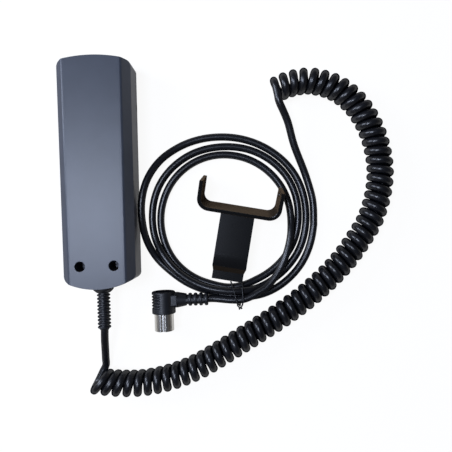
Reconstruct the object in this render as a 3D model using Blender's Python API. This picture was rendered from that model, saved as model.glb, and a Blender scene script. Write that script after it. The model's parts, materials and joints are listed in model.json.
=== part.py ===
"""A corded hand control lying on its face, with its curly cord, tied loops, plug and loose holder.

Sizes are in metres and +Z is up. The origin is the middle of the handset's front face, which lies on
the table, and +Y runs to the handset's top end.
"""

import math

import bmesh
import bpy
import numpy as np
from mathutils import Matrix, Vector

# Fits
CLEARANCE = 0.0003

# Handset case
CASE_LENGTH = 0.153
TOP_WIDTH = 0.0491
FOOT_WIDTH = 0.0475
CASE_DEPTH = 0.027
TOP_CROWN = 0.0033
FOOT_CROWN = 0.0064
CORNER_RADIUS = 0.004
CHAMFER_WIDTH = 0.0057
CHAMFER_DROP = 0.006
BACK_EDGE = 0.0008
FRONT_EDGE = 0.0014
CASE_WALL = 0.0022
FACE_WALL = 0.0022
SEAM_HEIGHT = 0.005
LIP_WALL = 0.0012
LIP_HEIGHT = 0.0022

# Side notches low on the case
NOTCH_FROM_TOP = 0.030
NOTCH_DEPTH = 0.001
NOTCH_RADIUS = 0.003
NOTCH_HEIGHT = 0.0024

# Case screws
SCREW_SPACING = 0.022
SCREW_FROM_FOOT = 0.0152
COUNTERBORE = 0.0065
PILLAR_WALL = 0.0016
SCREW_SEAT = 0.0135
SEAT_THICKNESS = 0.0022
SCREW_HEAD = 0.0055
SCREW_HEAD_HEIGHT = 0.002
SCREW_SHANK = 0.003
SCREW_LENGTH = 0.0085
POST_DIAMETER = 0.0068

# Buttons and the mat behind them
BUTTON_WIDTH = 0.0135
BUTTON_LENGTH = 0.018
BUTTON_COLUMNS = 0.020
BUTTON_ROWS = 0.026
BUTTONS_FROM_TOP = 0.053
BUTTON_CORNER = 0.004
BUTTON_SUNK = 0.0005
BUTTON_FLANGE = 0.001
BUTTON_EDGE = 0.0005
DOME_HEIGHT = 0.0015
DOME_BASE = 0.010
DOME_TIP = 0.0062
MAT_THICKNESS = 0.0012
MAT_MARGIN = 0.001

# Circuit board and its wires
BOARD_THICKNESS = 0.0016
BOARD_MARGIN = 0.0008
BOARD_FROM_TOP = 0.014
BOARD_FROM_PILLARS = 0.010
BOARD_POST = 0.0052
BOARD_SCREW_HEAD = 0.0044
BOARD_SCREW_SHANK = 0.002
BOARD_SCREW_LENGTH = 0.0045
HEADER_LENGTH = 0.015
HEADER_DEPTH = 0.006
HEADER_HEIGHT = 0.0055
WIRE_COUNT = 5
WIRE_DIAMETER = 0.001
WIRE_PITCH = 0.0025
WIRE_RING = 0.0013

# Strain relief boot
BOOT_HEIGHT = 0.013
BOOT_FLANGE = 0.0135
BOOT_FLANGE_THICKNESS = 0.0033
BOOT_NECK = 0.0096
BOOT_SLEEVE = 0.0088
BOOT_GROOVE = 0.0068
BOOT_RIBS = 10
BOOT_RIB_PITCH = 0.0024

# Cord
CORD_DIAMETER = 0.0048
LEAD_INSIDE = 0.006
LEAD_ROUTE = [
    (-0.0007, -0.1120, 0.0116),
    (-0.0017, -0.1200, 0.0086),
    (-0.0028, -0.1275, 0.0054),
    (-0.0041, -0.1330, 0.0032),
]
CURL_TURNS = 57.5
CURL_POINTS = 9
CURL_DIAMETER = 0.0176
CURL_SLANT = 0.0033
SLANTED_CURLS = 4.5
CURL_AXIS = [
    (-0.0073, -0.1414),
    (0.0081, -0.1432),
    (0.0217, -0.1435),
    (0.0354, -0.1418),
    (0.0487, -0.1384),
    (0.0615, -0.1336),
    (0.0738, -0.1272),
    (0.0976, -0.1134),
    (0.1211, -0.0992),
    (0.1434, -0.0832),
    (0.1633, -0.0644),
    (0.1796, -0.0424),
    (0.1856, -0.0301),
    (0.1894, -0.0169),
    (0.1909, -0.0033),
    (0.1897, 0.0104),
    (0.1862, 0.0237),
    (0.1804, 0.0360),
    (0.1721, 0.0468),
    (0.1609, 0.0549),
    (0.1479, 0.0591),
    (0.1388, 0.0594),
    (0.1298, 0.0576),
    (0.1207, 0.0542),
]
TAIL_ROUTE = [
    (0.1284, 0.0320, 0.0108),
    (0.1329, 0.0164, 0.0070),
    (0.1403, -0.0025, 0.0032),
    (0.1445, -0.0172, 0.0024),
    (0.1457, -0.0270, 0.0024),
]

# Tied loops of the cord
LOOP_CENTRE = (0.0847, -0.0330)
LOOP_POINTS = 29
TIE_BEARING = -82.9
TIE_WIRE = 0.001
TIE_TURNS = 2
TIE_PITCH = 0.0016
TIE_SPREAD = 0.003
TIE_TWIST_RADIUS = 0.00085
TIE_TWIST_LENGTH = 0.0025

# Route of the loops: degrees run clockwise from the tie, distance from the middle, and height. At each
# whole turn the strand passes the tie, where the four passes lie two on two; the first turn leans on
# the case.
LOOP_ROUTE = [
    (-75, 0.0610, 0.0024),
    (-50, 0.0609, 0.0024),
    (-25, 0.0592, 0.0026),
    (-10, 0.0568, 0.0037),
    (0, 0.0540, 0.0043),
    (10, 0.0527, 0.0037),
    (22, 0.0519, 0.0025),
    (37, 0.0522, 0.0024),
    (55, 0.0533, 0.0025),
    (70, 0.0557, 0.0028),
    (84, 0.0571, 0.0060),
    (97, 0.0577, 0.0096),
    (110, 0.0590, 0.0108),
    (125, 0.0606, 0.0094),
    (140, 0.0612, 0.0058),
    (156, 0.0601, 0.0030),
    (185, 0.0575, 0.0024),
    (215, 0.0567, 0.0024),
    (245, 0.0569, 0.0024),
    (275, 0.0557, 0.0024),
    (300, 0.0551, 0.0024),
    (325, 0.0536, 0.0024),
    (342, 0.0527, 0.0040),
    (351, 0.0515, 0.0077),
    (360, 0.0502, 0.0092),
    (366, 0.0498, 0.0092),
    (374, 0.0493, 0.0090),
    (395, 0.0493, 0.0078),
    (416, 0.0498, 0.0074),
    (430, 0.0505, 0.0060),
    (444, 0.0515, 0.0032),
    (462, 0.0519, 0.0024),
    (487, 0.0525, 0.0024),
    (515, 0.0517, 0.0024),
    (545, 0.0506, 0.0024),
    (575, 0.0511, 0.0024),
    (605, 0.0515, 0.0024),
    (635, 0.0503, 0.0024),
    (655, 0.0496, 0.0024),
    (675, 0.0484, 0.0024),
    (700, 0.0472, 0.0028),
    (712, 0.0474, 0.0039),
    (720, 0.0475, 0.0043),
    (728, 0.0474, 0.0041),
    (742, 0.0465, 0.0032),
    (757, 0.0466, 0.0025),
    (780, 0.0466, 0.0024),
    (802, 0.0461, 0.0024),
    (830, 0.0459, 0.0024),
    (860, 0.0459, 0.0024),
    (890, 0.0454, 0.0024),
    (920, 0.0446, 0.0024),
    (950, 0.0443, 0.0024),
    (980, 0.0447, 0.0026),
    (1000, 0.0449, 0.0042),
    (1014, 0.0458, 0.0068),
    (1028, 0.0475, 0.0082),
    (1042, 0.0504, 0.0085),
    (1056, 0.0536, 0.0091),
    (1067, 0.0559, 0.0100),
    (1080, 0.0563, 0.0096),
]

# Plug
PLUG_PLACE = (0.0398, -0.0874, 0.0082)
PLUG_BODY = 0.016
PLUG_BACK = 0.0061
PLUG_FRONT = 0.0089
PLUG_EDGE = 0.001
GRIP_COUNT = 5
GRIP_PITCH = 0.002
GRIP_WIDTH = 0.0008
GRIP_DEPTH = 0.0005
COLLAR_REACH = 0.0097
COLLAR_WIDTH = 0.0078
COLLAR_HEIGHT = 0.0114
NECK_ROOT = 0.0106
NECK_TIP = 0.0084
NECK_REACH = 0.0158
RELIEF_RINGS = 4
RELIEF_PITCH = 0.0037
RELIEF_RING = 0.0024
RELIEF_DIAMETER = 0.0089
RELIEF_CORE = 0.0066
SHELL_DIAMETER = 0.0132
SHELL_WALL = 0.0005
SHELL_EXPOSED = 0.0118
SHELL_ROOT = 0.0042
KEY_DEPTH = 0.0011
KEY_ANGLE = 14.0
KEYED_SIDES = 40
INSERT_THICKNESS = 0.006
PIN_COUNT = 5
PIN_DIAMETER = 0.00145
PIN_CIRCLE = 0.0065
PIN_LENGTH = 0.0125
PIN_BACKING = 0.001

# Holder: a canted U-shaped clip on a stepped tongue
HOLDER_PLACE = (0.0936, -0.0241)
HOLDER_TURN = -11.0
CLIP_WIDTH = 0.0507
CLIP_REACH = 0.0176
CLIP_FLARE = 0.0011
CLIP_CORNER = 0.0055
CLIP_WALL = 0.002
CLIP_HEIGHT = 0.0165
CLIP_CANT = 20.0
PIP_RADIUS = 0.0016
TONGUE_WIDTH = 0.0226
TONGUE_END_WIDTH = 0.0212
TONGUE_THICKNESS = 0.0024
TONGUE_HEIGHT = 0.0118
TONGUE_END_HEIGHT = 0.008
TONGUE_ROOT = 0.006
TONGUE_RAMP = 0.0340
TONGUE_RIDGE = 0.0425
RIDGE_RISE = 0.0018
TONGUE_STEP = 0.0035
TONGUE_END = 0.0515
TONGUE_EDGE = 0.0005
DIMPLE_PLACE = (-0.0005, -0.0138)
DIMPLE_RADIUS = 0.002
DIMPLE_DEPTH = 0.0004

# Heights and places that follow from the sizes above
TOP_Y = CASE_LENGTH / 2
FOOT_Y = -CASE_LENGTH / 2
BUTTON_CENTRE_Y = TOP_Y - BUTTONS_FROM_TOP
SCREW_Y = FOOT_Y + SCREW_FROM_FOOT
PILLAR_RADIUS = COUNTERBORE / 2 + PILLAR_WALL
PILLAR_LOW = SCREW_SEAT - SEAT_THICKNESS
FLANGE_LOW = FACE_WALL + CLEARANCE
FLANGE_HIGH = FLANGE_LOW + BUTTON_FLANGE
MAT_LOW = FLANGE_HIGH + CLEARANCE + DOME_HEIGHT
MAT_HIGH = MAT_LOW + MAT_THICKNESS
BOARD_LOW = MAT_HIGH + CLEARANCE
BOARD_HIGH = BOARD_LOW + BOARD_THICKNESS
MAT_HALF_WIDTH = (BUTTON_COLUMNS + BUTTON_WIDTH) / 2 + MAT_MARGIN
MAT_HALF_LENGTH = (BUTTON_ROWS + BUTTON_LENGTH) / 2 + MAT_MARGIN
LIP_INSET = CASE_WALL + CLEARANCE
BOARD_POST_REACH = MAT_HALF_LENGTH + BOARD_POST / 2 + MAT_MARGIN
CORD_RADIUS = CORD_DIAMETER / 2
CURL_RADIUS = (CURL_DIAMETER - CORD_DIAMETER) / 2
PLUG_RADIUS = PLUG_BODY / 2
RELIEF_END = NECK_REACH + RELIEF_RINGS * RELIEF_PITCH

TO_FOOT = Matrix.Rotation(math.pi / 2, 4, "X")
TO_RIGHT = Matrix.Rotation(math.pi / 2, 4, "Y")
STRAIGHT = Matrix.Identity(4)


# Scene and materials

def clear_scene():
    for item in list(bpy.data.objects):
        bpy.data.objects.remove(item)


def material(name, colour, roughness, metallic=0.0):
    made = bpy.data.materials.new(name)
    made.use_nodes = True
    shader = made.node_tree.nodes["Principled BSDF"]
    shader.inputs["Base Color"].default_value = (*colour, 1.0)
    shader.inputs["Roughness"].default_value = roughness
    shader.inputs["Metallic"].default_value = metallic
    return made


# Objects and Booleans

def add_empty(name, place, turn=0.0):
    item = bpy.data.objects.new(name, None)
    item.location = place
    item.rotation_euler = (0.0, 0.0, math.radians(turn))
    bpy.context.scene.collection.objects.link(item)
    return item


def add_solid(name, shape, finish, parent=None, place=(0.0, 0.0, 0.0)):
    """Turn a bmesh into a named object, shaded smooth except at its corners."""
    mesh = bpy.data.meshes.new(name)
    bmesh.ops.recalc_face_normals(shape, faces=shape.faces)
    shape.to_mesh(mesh)
    shape.free()
    mesh.shade_smooth()
    mesh.set_sharp_from_angle(angle=math.radians(35.0))
    item = bpy.data.objects.new(name, mesh)
    item.location = place
    item.parent = parent
    bpy.context.scene.collection.objects.link(item)
    if finish:
        mesh.materials.append(finish)
    return item


def add_tool(name, shape, parent=None):
    """Add a helper solid that only shapes other solids."""
    item = add_solid(name, shape, None, parent)
    item.hide_render = True
    item.display_type = "WIRE"
    return item


def shape_with(target, tool, operation):
    change = target.modifiers.new(tool.name, "BOOLEAN")
    change.operation = operation
    change.solver = "EXACT"
    change.object = tool


def add_tube(name, points, diameter, finish, roundness):
    """A tube with flat ends along a run of points."""
    curve = bpy.data.curves.new(name, "CURVE")
    curve.dimensions = "3D"
    curve.bevel_depth = diameter / 2
    curve.bevel_resolution = roundness
    curve.use_fill_caps = True
    run = curve.splines.new("POLY")
    run.points.add(len(points) - 1)
    for knot, place in zip(run.points, points):
        knot.co = (place[0], place[1], place[2], 1.0)
    curve.materials.append(finish)
    item = bpy.data.objects.new(name, curve)
    bpy.context.scene.collection.objects.link(item)
    return item


# Solid shapes

def prism(outline, low, high):
    """Raise a flat outline from one height to another."""
    shape = bmesh.new()
    ring = [shape.verts.new((x, y, low)) for x, y in outline]
    base = shape.faces.new(ring)
    raised = bmesh.ops.extrude_face_region(shape, geom=[base])["geom"]
    tops = [part for part in raised if isinstance(part, bmesh.types.BMVert)]
    bmesh.ops.translate(shape, verts=tops, vec=(0.0, 0.0, high - low))
    bmesh.ops.recalc_face_normals(shape, faces=shape.faces)
    return shape


def circle(radius, centre=(0.0, 0.0), sides=24):
    angles = [2 * math.pi * step / sides for step in range(sides)]
    return [(centre[0] + radius * math.cos(a), centre[1] + radius * math.sin(a)) for a in angles]


def rectangle(width, length, radius, centre=(0.0, 0.0), steps=4):
    """A rectangle with round corners."""
    points = []
    for corner, (side_x, side_y) in enumerate([(1, 1), (-1, 1), (-1, -1), (1, -1)]):
        middle_x = centre[0] + side_x * (width / 2 - radius)
        middle_y = centre[1] + side_y * (length / 2 - radius)
        for step in range(steps + 1):
            angle = math.pi / 2 * (corner + step / steps)
            points.append((middle_x + radius * math.cos(angle), middle_y + radius * math.sin(angle)))
    return points


def box(low, high):
    outline = [(low[0], low[1]), (high[0], low[1]), (high[0], high[1]), (low[0], high[1])]
    return prism(outline, low[2], high[2])


def turned(profile, sides, hollow=False):
    """Turn a profile of (radius, height) about Z; a hollow profile closes on itself."""
    shape = bmesh.new()
    ring = [shape.verts.new((radius, 0.0, height)) for radius, height in profile]
    pairs = list(zip(ring, ring[1:]))
    if hollow:
        pairs.append((ring[-1], ring[0]))
    edges = [shape.edges.new(pair) for pair in pairs]
    bmesh.ops.spin(shape, geom=ring + edges, cent=(0.0, 0.0, 0.0), axis=(0.0, 0.0, 1.0),
                   dvec=(0.0, 0.0, 0.0), angle=2 * math.pi, steps=sides, use_merge=True)
    bmesh.ops.remove_doubles(shape, verts=shape.verts, dist=1e-6)
    bmesh.ops.recalc_face_normals(shape, faces=shape.faces)
    return shape


def moved(shape, place, turn=STRAIGHT):
    bmesh.ops.transform(shape, matrix=Matrix.Translation(place) @ turn, verts=shape.verts)
    return shape


def merged(*shapes):
    """Put separate helper shapes into one bmesh."""
    whole = bmesh.new()
    for shape in shapes:
        mesh = bpy.data.meshes.new("merged")
        shape.to_mesh(mesh)
        shape.free()
        whole.from_mesh(mesh)
        bpy.data.meshes.remove(mesh)
    return whole


def slice_off(shape, point, normal):
    """Cut away what lies beyond a plane and close the cut."""
    everything = list(shape.verts) + list(shape.edges) + list(shape.faces)
    cut = bmesh.ops.bisect_plane(shape, geom=everything, plane_co=point, plane_no=normal, clear_outer=True)
    rim = [part for part in cut["geom_cut"] if isinstance(part, bmesh.types.BMEdge)]
    bmesh.ops.contextual_create(shape, geom=rim)


def soften(shape, radius, chosen, segments=2):
    """Round the corners that `chosen` picks among the sharp edges."""
    sharp = [edge for edge in shape.edges if edge.calc_face_angle(0.0) > math.radians(25.0) and chosen(edge)]
    bmesh.ops.bevel(shape, geom=sharp, offset=radius, offset_type="OFFSET", segments=segments,
                    profile=0.5, affect="EDGES", material=-1)


# Handset case

def half_width(y):
    """Half of the case's width, which tapers slightly to the foot."""
    share = y / CASE_LENGTH + 0.5
    return (FOOT_WIDTH + (TOP_WIDTH - FOOT_WIDTH) * share) / 2


def crown_drop(x, half, crown):
    """How far a crowned end has fallen back at x from its middle."""
    radius = (half * half + crown * crown) / (2 * crown)
    return radius - math.sqrt(radius * radius - x * x)


def end_profile(half, crown, corner):
    """Crowned end with round corners, right to left, as (x, drop) pairs."""
    corner_steps = 5
    crown_steps = 8
    right = []
    for step in range(corner_steps):
        angle = math.pi / 2 * (1 - step / corner_steps)
        x = half - corner + corner * math.sin(angle)
        right.append((x, crown_drop(x, half, crown) + corner * (1 - math.cos(angle))))
    for step in range(crown_steps // 2):
        x = (half - corner) * (1 - 2 * step / crown_steps)
        right.append((x, crown_drop(x, half, crown)))
    left = [(-x, drop) for x, drop in reversed(right)]
    return right + [(0.0, 0.0)] + left


def case_outline(inset):
    """Plan of the case drawn in by `inset`, anticlockwise from the top's right corner."""
    corner = max(CORNER_RADIUS - inset, CLEARANCE)
    top = end_profile(TOP_WIDTH / 2 - inset, TOP_CROWN, corner)
    foot = end_profile(FOOT_WIDTH / 2 - inset, FOOT_CROWN, corner)
    points = [(x, TOP_Y - inset - drop) for x, drop in top]
    points += [(-x, FOOT_Y + inset + drop) for x, drop in foot]
    return points


def chamfered_block(inset, low):
    """The case's block with both long chamfers, all drawn in by `inset`."""
    shape = prism(case_outline(inset), low, CASE_DEPTH - inset)
    for side in (1, -1):
        top_point = Vector((side * (half_width(TOP_Y) - CHAMFER_WIDTH), TOP_Y, CASE_DEPTH))
        foot_point = Vector((side * (half_width(FOOT_Y) - CHAMFER_WIDTH), FOOT_Y, CASE_DEPTH))
        wall_point = top_point + Vector((side * CHAMFER_WIDTH, 0.0, -CHAMFER_DROP))
        normal = (foot_point - top_point).cross(wall_point - top_point).normalized()
        if normal.z < 0:
            normal.negate()
        slice_off(shape, top_point - normal * inset, normal)
    return shape


def screw_places():
    return [("left", -SCREW_SPACING / 2), ("right", SCREW_SPACING / 2)]


def make_back_shell(finish, group):
    low = SEAM_HEIGHT + CLEARANCE
    outer = chamfered_block(0.0, low)
    soften(outer, BACK_EDGE, lambda edge: min(vert.co.z for vert in edge.verts) > low + CLEARANCE)
    shell = add_solid("back_shell", outer, finish, group)
    shape_with(shell, add_tool("back_room", chamfered_block(CASE_WALL, low - FACE_WALL), group), "DIFFERENCE")

    bored = []
    for side, x in screw_places():
        pillar = prism(circle(PILLAR_RADIUS, (x, SCREW_Y)), PILLAR_LOW, CASE_DEPTH - CASE_WALL / 2)
        shape_with(shell, add_tool("pillar_" + side, pillar, group), "UNION")
        bored.append(prism(circle(COUNTERBORE / 2, (x, SCREW_Y)), SCREW_SEAT, CASE_DEPTH + CASE_WALL))
        hole = circle(SCREW_SHANK / 2 + CLEARANCE, (x, SCREW_Y), 16)
        bored.append(prism(hole, PILLAR_LOW - CASE_WALL, SCREW_SEAT + CLEARANCE))
    for number, bore in enumerate(bored):
        shape_with(shell, add_tool("screw_bore_%d" % number, bore, group), "DIFFERENCE")

    slot_half = BOOT_NECK / 2 + CLEARANCE
    slot = [(-slot_half, low - FACE_WALL), (slot_half, low - FACE_WALL)]
    for step in range(13):
        angle = math.pi * step / 12
        slot.append((slot_half * math.cos(angle), BOOT_HEIGHT + slot_half * math.sin(angle)))
    way = moved(prism(slot, -CASE_WALL, 2 * CASE_WALL), (0.0, FOOT_Y + CASE_WALL, 0.0), TO_FOOT)
    shape_with(shell, add_tool("boot_slot", way, group), "DIFFERENCE")
    return shell


def button_places():
    """Name, x and y of the four buttons; left and right as seen from the front."""
    places = []
    for row, side_y in (("upper", 1), ("lower", -1)):
        for column, side_x in (("left", 1), ("right", -1)):
            x = side_x * BUTTON_COLUMNS / 2
            places.append((row + "_" + column + "_button", x, BUTTON_CENTRE_Y + side_y * BUTTON_ROWS / 2))
    return places


def board_screw_places():
    return [("upper", BUTTON_CENTRE_Y + BOARD_POST_REACH), ("lower", BUTTON_CENTRE_Y - BOARD_POST_REACH)]


def make_front_shell(finish, group):
    outer = prism(case_outline(0.0), 0.0, SEAM_HEIGHT)
    soften(outer, FRONT_EDGE, lambda edge: max(vert.co.z for vert in edge.verts) < CLEARANCE, 3)
    shell = add_solid("front_shell", outer, finish, group)
    lip = prism(case_outline(LIP_INSET), FACE_WALL / 2, SEAM_HEIGHT + LIP_HEIGHT)
    shape_with(shell, add_tool("lip", lip, group), "UNION")
    room = prism(case_outline(LIP_INSET + LIP_WALL), FACE_WALL, CASE_DEPTH)
    shape_with(shell, add_tool("front_room", room, group), "DIFFERENCE")

    for side, x in screw_places():
        post = prism(circle(POST_DIAMETER / 2, (x, SCREW_Y)), FACE_WALL / 2, PILLAR_LOW - CLEARANCE)
        shape_with(shell, add_tool("screw_post_" + side, post, group), "UNION")
        pilot = prism(circle(SCREW_SHANK / 2 + CLEARANCE, (x, SCREW_Y), 16), FACE_WALL, CASE_DEPTH)
        shape_with(shell, add_tool("screw_pilot_" + side, pilot, group), "DIFFERENCE")
    for end, y in board_screw_places():
        post = prism(circle(BOARD_POST / 2, (0.0, y), 16), FACE_WALL / 2, BOARD_LOW - CLEARANCE)
        shape_with(shell, add_tool("board_post_" + end, post, group), "UNION")
        pilot = prism(circle(BOARD_SCREW_SHANK / 2 + CLEARANCE, (0.0, y), 12), FACE_WALL, CASE_DEPTH)
        shape_with(shell, add_tool("board_pilot_" + end, pilot, group), "DIFFERENCE")

    for name, x, y in button_places():
        outline = rectangle(BUTTON_WIDTH + 2 * CLEARANCE, BUTTON_LENGTH + 2 * CLEARANCE,
                            BUTTON_CORNER + CLEARANCE, (x, y))
        window = prism(outline, -FACE_WALL, 2 * FACE_WALL)
        shape_with(shell, add_tool("window_" + name, window, group), "DIFFERENCE")
    notch_y = TOP_Y - NOTCH_FROM_TOP
    for side in (1, -1):
        middle = side * (half_width(notch_y) + NOTCH_RADIUS - NOTCH_DEPTH)
        notch = prism(circle(NOTCH_RADIUS, (middle, notch_y)), SEAM_HEIGHT / 2 - NOTCH_HEIGHT / 2,
                      SEAM_HEIGHT / 2 + NOTCH_HEIGHT / 2)
        shape_with(shell, add_tool("notch_%d" % side, notch, group), "DIFFERENCE")

    flange_room = prism(circle(BOOT_FLANGE / 2 + CLEARANCE), -4 * CASE_WALL, -LIP_INSET + CLEARANCE / 2)
    moved(flange_room, (0.0, FOOT_Y, BOOT_HEIGHT), TO_FOOT)
    shape_with(shell, add_tool("flange_room", flange_room, group), "DIFFERENCE")
    tab_half = BOOT_NECK / 2
    tab_top = BOOT_HEIGHT - BOOT_NECK / 2 - CLEARANCE
    tab = box((-tab_half, FOOT_Y + CLEARANCE, SEAM_HEIGHT - FACE_WALL),
              (tab_half, FOOT_Y + CASE_WALL, tab_top))
    shape_with(shell, add_tool("boot_tab", tab, group), "UNION")
    return shell


# Buttons, mat and board

def make_button(name, x, y, finish):
    """A cap raised from a flange that stays behind the front wall; it is pressed along +Z."""
    rim = 2 * BUTTON_FLANGE
    shape = prism(rectangle(BUTTON_WIDTH + rim, BUTTON_LENGTH + rim, BUTTON_CORNER + BUTTON_FLANGE),
                  FLANGE_LOW, FLANGE_HIGH)
    front = min(shape.faces, key=lambda face: face.calc_center_median().z)
    bmesh.ops.inset_region(shape, faces=[front], thickness=BUTTON_FLANGE)
    raised = bmesh.ops.extrude_face_region(shape, geom=[front])["geom"]
    tips = [part for part in raised if isinstance(part, bmesh.types.BMVert)]
    bmesh.ops.delete(shape, geom=[front], context="FACES")
    bmesh.ops.translate(shape, verts=tips, vec=(0.0, 0.0, BUTTON_SUNK - FLANGE_LOW))
    soften(shape, BUTTON_EDGE, lambda edge: max(vert.co.z for vert in edge.verts) < BUTTON_SUNK + 1e-6)
    return add_solid(name, shape, finish, None, (x, y, 0.0))


def make_keypad_mat(finish, group):
    sheet = prism(rectangle(2 * MAT_HALF_WIDTH, 2 * MAT_HALF_LENGTH, BUTTON_CORNER, (0.0, BUTTON_CENTRE_Y)),
                  MAT_LOW, MAT_HIGH)
    mat = add_solid("keypad_mat", sheet, finish, group)
    sunk = MAT_THICKNESS / 2
    for name, x, y in button_places():
        profile = [(0.0, MAT_LOW - DOME_HEIGHT), (DOME_TIP / 2, MAT_LOW - DOME_HEIGHT),
                   (DOME_BASE / 2, MAT_LOW), (DOME_BASE / 2, MAT_LOW + sunk), (0.0, MAT_LOW + sunk)]
        dome = moved(turned(profile, 20), (x, y, 0.0))
        shape_with(mat, add_tool("dome_" + name, dome, group), "UNION")
    return mat


def board_ends():
    return SCREW_Y + PILLAR_RADIUS + BOARD_FROM_PILLARS, TOP_Y - BOARD_FROM_TOP


def make_board(finish, group):
    foot, top = board_ends()
    width = 2 * (half_width(foot) - LIP_INSET - LIP_WALL - BOARD_MARGIN)
    outline = rectangle(width, top - foot, 0.002, (0.0, (top + foot) / 2))
    board = add_solid("circuit_board", prism(outline, BOARD_LOW, BOARD_HIGH), finish, group)
    for end, y in board_screw_places():
        hole = prism(circle(BOARD_SCREW_SHANK / 2 + CLEARANCE, (0.0, y), 12), 0.0, CASE_DEPTH)
        shape_with(board, add_tool("board_hole_" + end, hole, group), "DIFFERENCE")
    return board


def header_face():
    """Where the header's wire side lies along Y."""
    return board_ends()[0] + HEADER_DEPTH / 4


def make_header(finish, group):
    low = BOARD_HIGH + CLEARANCE
    face = header_face()
    outline = rectangle(HEADER_LENGTH, HEADER_DEPTH, 0.0006, (0.0, face + HEADER_DEPTH / 2), 2)
    return add_solid("wire_header", prism(outline, low, low + HEADER_HEIGHT), finish, group)


def screw_shape(head, head_height, shank, length):
    """A cheese-head screw: the head's underside is at height 0 and the shank points down."""
    profile = [(0.0, -length), (shank / 2 - CLEARANCE, -length), (shank / 2, CLEARANCE - length),
               (shank / 2, 0.0), (head / 2, 0.0), (head / 2, head_height * 0.7),
               (head * 0.4, head_height), (0.0, head_height)]
    return turned(profile, 20)


def make_screw(name, place, sizes, finish, group):
    head, head_height = sizes[0], sizes[1]
    screw = add_solid(name, moved(screw_shape(*sizes), place), finish, group)
    reach = head * 0.3
    arm = head * 0.07
    floor = head_height * 0.45
    for number, (half_x, half_y) in enumerate([(reach, arm), (arm, reach)]):
        slot = box((-half_x, -half_y, floor), (half_x, half_y, 2 * head_height))
        tool = add_tool("%s_slot_%d" % (name, number), moved(slot, place), group)
        shape_with(screw, tool, "DIFFERENCE")
    return screw


# Strain relief boot

def boot_inner_face():
    """How far inside the case the boot's inner flange begins, clear of the crowned end wall."""
    half = FOOT_WIDTH / 2 - CASE_WALL
    return CASE_WALL + 2 * CLEARANCE + crown_drop(BOOT_FLANGE / 2, half, FOOT_CROWN)


def boot_length():
    return CLEARANCE + BOOT_FLANGE_THICKNESS + (BOOT_RIBS + 0.5) * BOOT_RIB_PITCH


def make_boot(finish, group):
    """Flanged boot with a ribbed sleeve; its profile runs outwards along the cord."""
    flange = BOOT_FLANGE / 2
    neck = BOOT_NECK / 2
    bore = CORD_RADIUS + CLEARANCE
    inner = -boot_inner_face()
    outer = CLEARANCE + BOOT_FLANGE_THICKNESS
    thin = BOOT_FLANGE_THICKNESS * 0.8
    taper = BOOT_FLANGE_THICKNESS * 0.6
    profile = [(bore, inner - thin), (flange, inner - thin), (flange, inner), (neck, inner),
               (neck, CLEARANCE), (flange, CLEARANCE), (flange, outer - taper), (neck, outer)]
    rib = BOOT_SLEEVE / 2
    groove = BOOT_GROOVE / 2
    for number in range(BOOT_RIBS):
        start = outer + (number + 0.5) * BOOT_RIB_PITCH
        profile += [(groove, start - BOOT_RIB_PITCH * 0.45), (groove, start),
                    (rib, start + BOOT_RIB_PITCH * 0.1), (rib, start + BOOT_RIB_PITCH * 0.5)]
    profile.append((bore, boot_length()))
    shape = moved(turned(profile, 18, hollow=True), (0.0, FOOT_Y, BOOT_HEIGHT), TO_FOOT)
    return add_solid("strain_relief", shape, finish, group)


# Runs of the cord

def smooth(points, per_span=24):
    """A smooth curve through route points, as a dense run of places."""
    route = np.array([tuple(point) for point in points], dtype=float)
    route = np.vstack([2 * route[0] - route[1], route, 2 * route[-1] - route[-2]])
    run = []
    for index in range(1, len(route) - 2):
        before, start, end, after = route[index - 1:index + 3]
        for step in range(per_span):
            t = step / per_span
            run.append(0.5 * (2 * start + (end - before) * t
                              + (2 * before - 5 * start + 4 * end - after) * t ** 2
                              + (3 * start - before - 3 * end + after) * t ** 3))
    run.append(route[-2])
    return np.array(run)


def lengths_along(run):
    return np.concatenate([[0.0], np.cumsum(np.linalg.norm(np.diff(run, axis=0), axis=1))])


def walk(run, count):
    """`count` evenly spaced places along a run."""
    gone = lengths_along(run)
    wanted = np.linspace(0.0, gone[-1], count)
    return np.stack([np.interp(wanted, gone, run[:, axis]) for axis in range(run.shape[1])], axis=1)


def free_cord(points):
    """A free run of cord through route points, with a place about every two diameters."""
    run = smooth(points)
    run[:, 2] = np.maximum(run[:, 2], CORD_RADIUS)
    return walk(run, max(3, round(lengths_along(run)[-1] / (2 * CORD_DIAMETER)) + 1))


def unit(vector):
    return vector / np.linalg.norm(vector)


def least_gap(points, diameter):
    """Least clear gap between parts of a tube that lie more than four diameters apart along it."""
    run = np.array(points)
    dense = walk(run, 3 * len(run))
    gone = lengths_along(dense)
    least = math.inf
    for index, place in enumerate(dense):
        far = gone > gone[index] + 4 * diameter
        if far.any():
            least = min(least, np.linalg.norm(dense[far] - place, axis=1).min())
    return least - diameter


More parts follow.
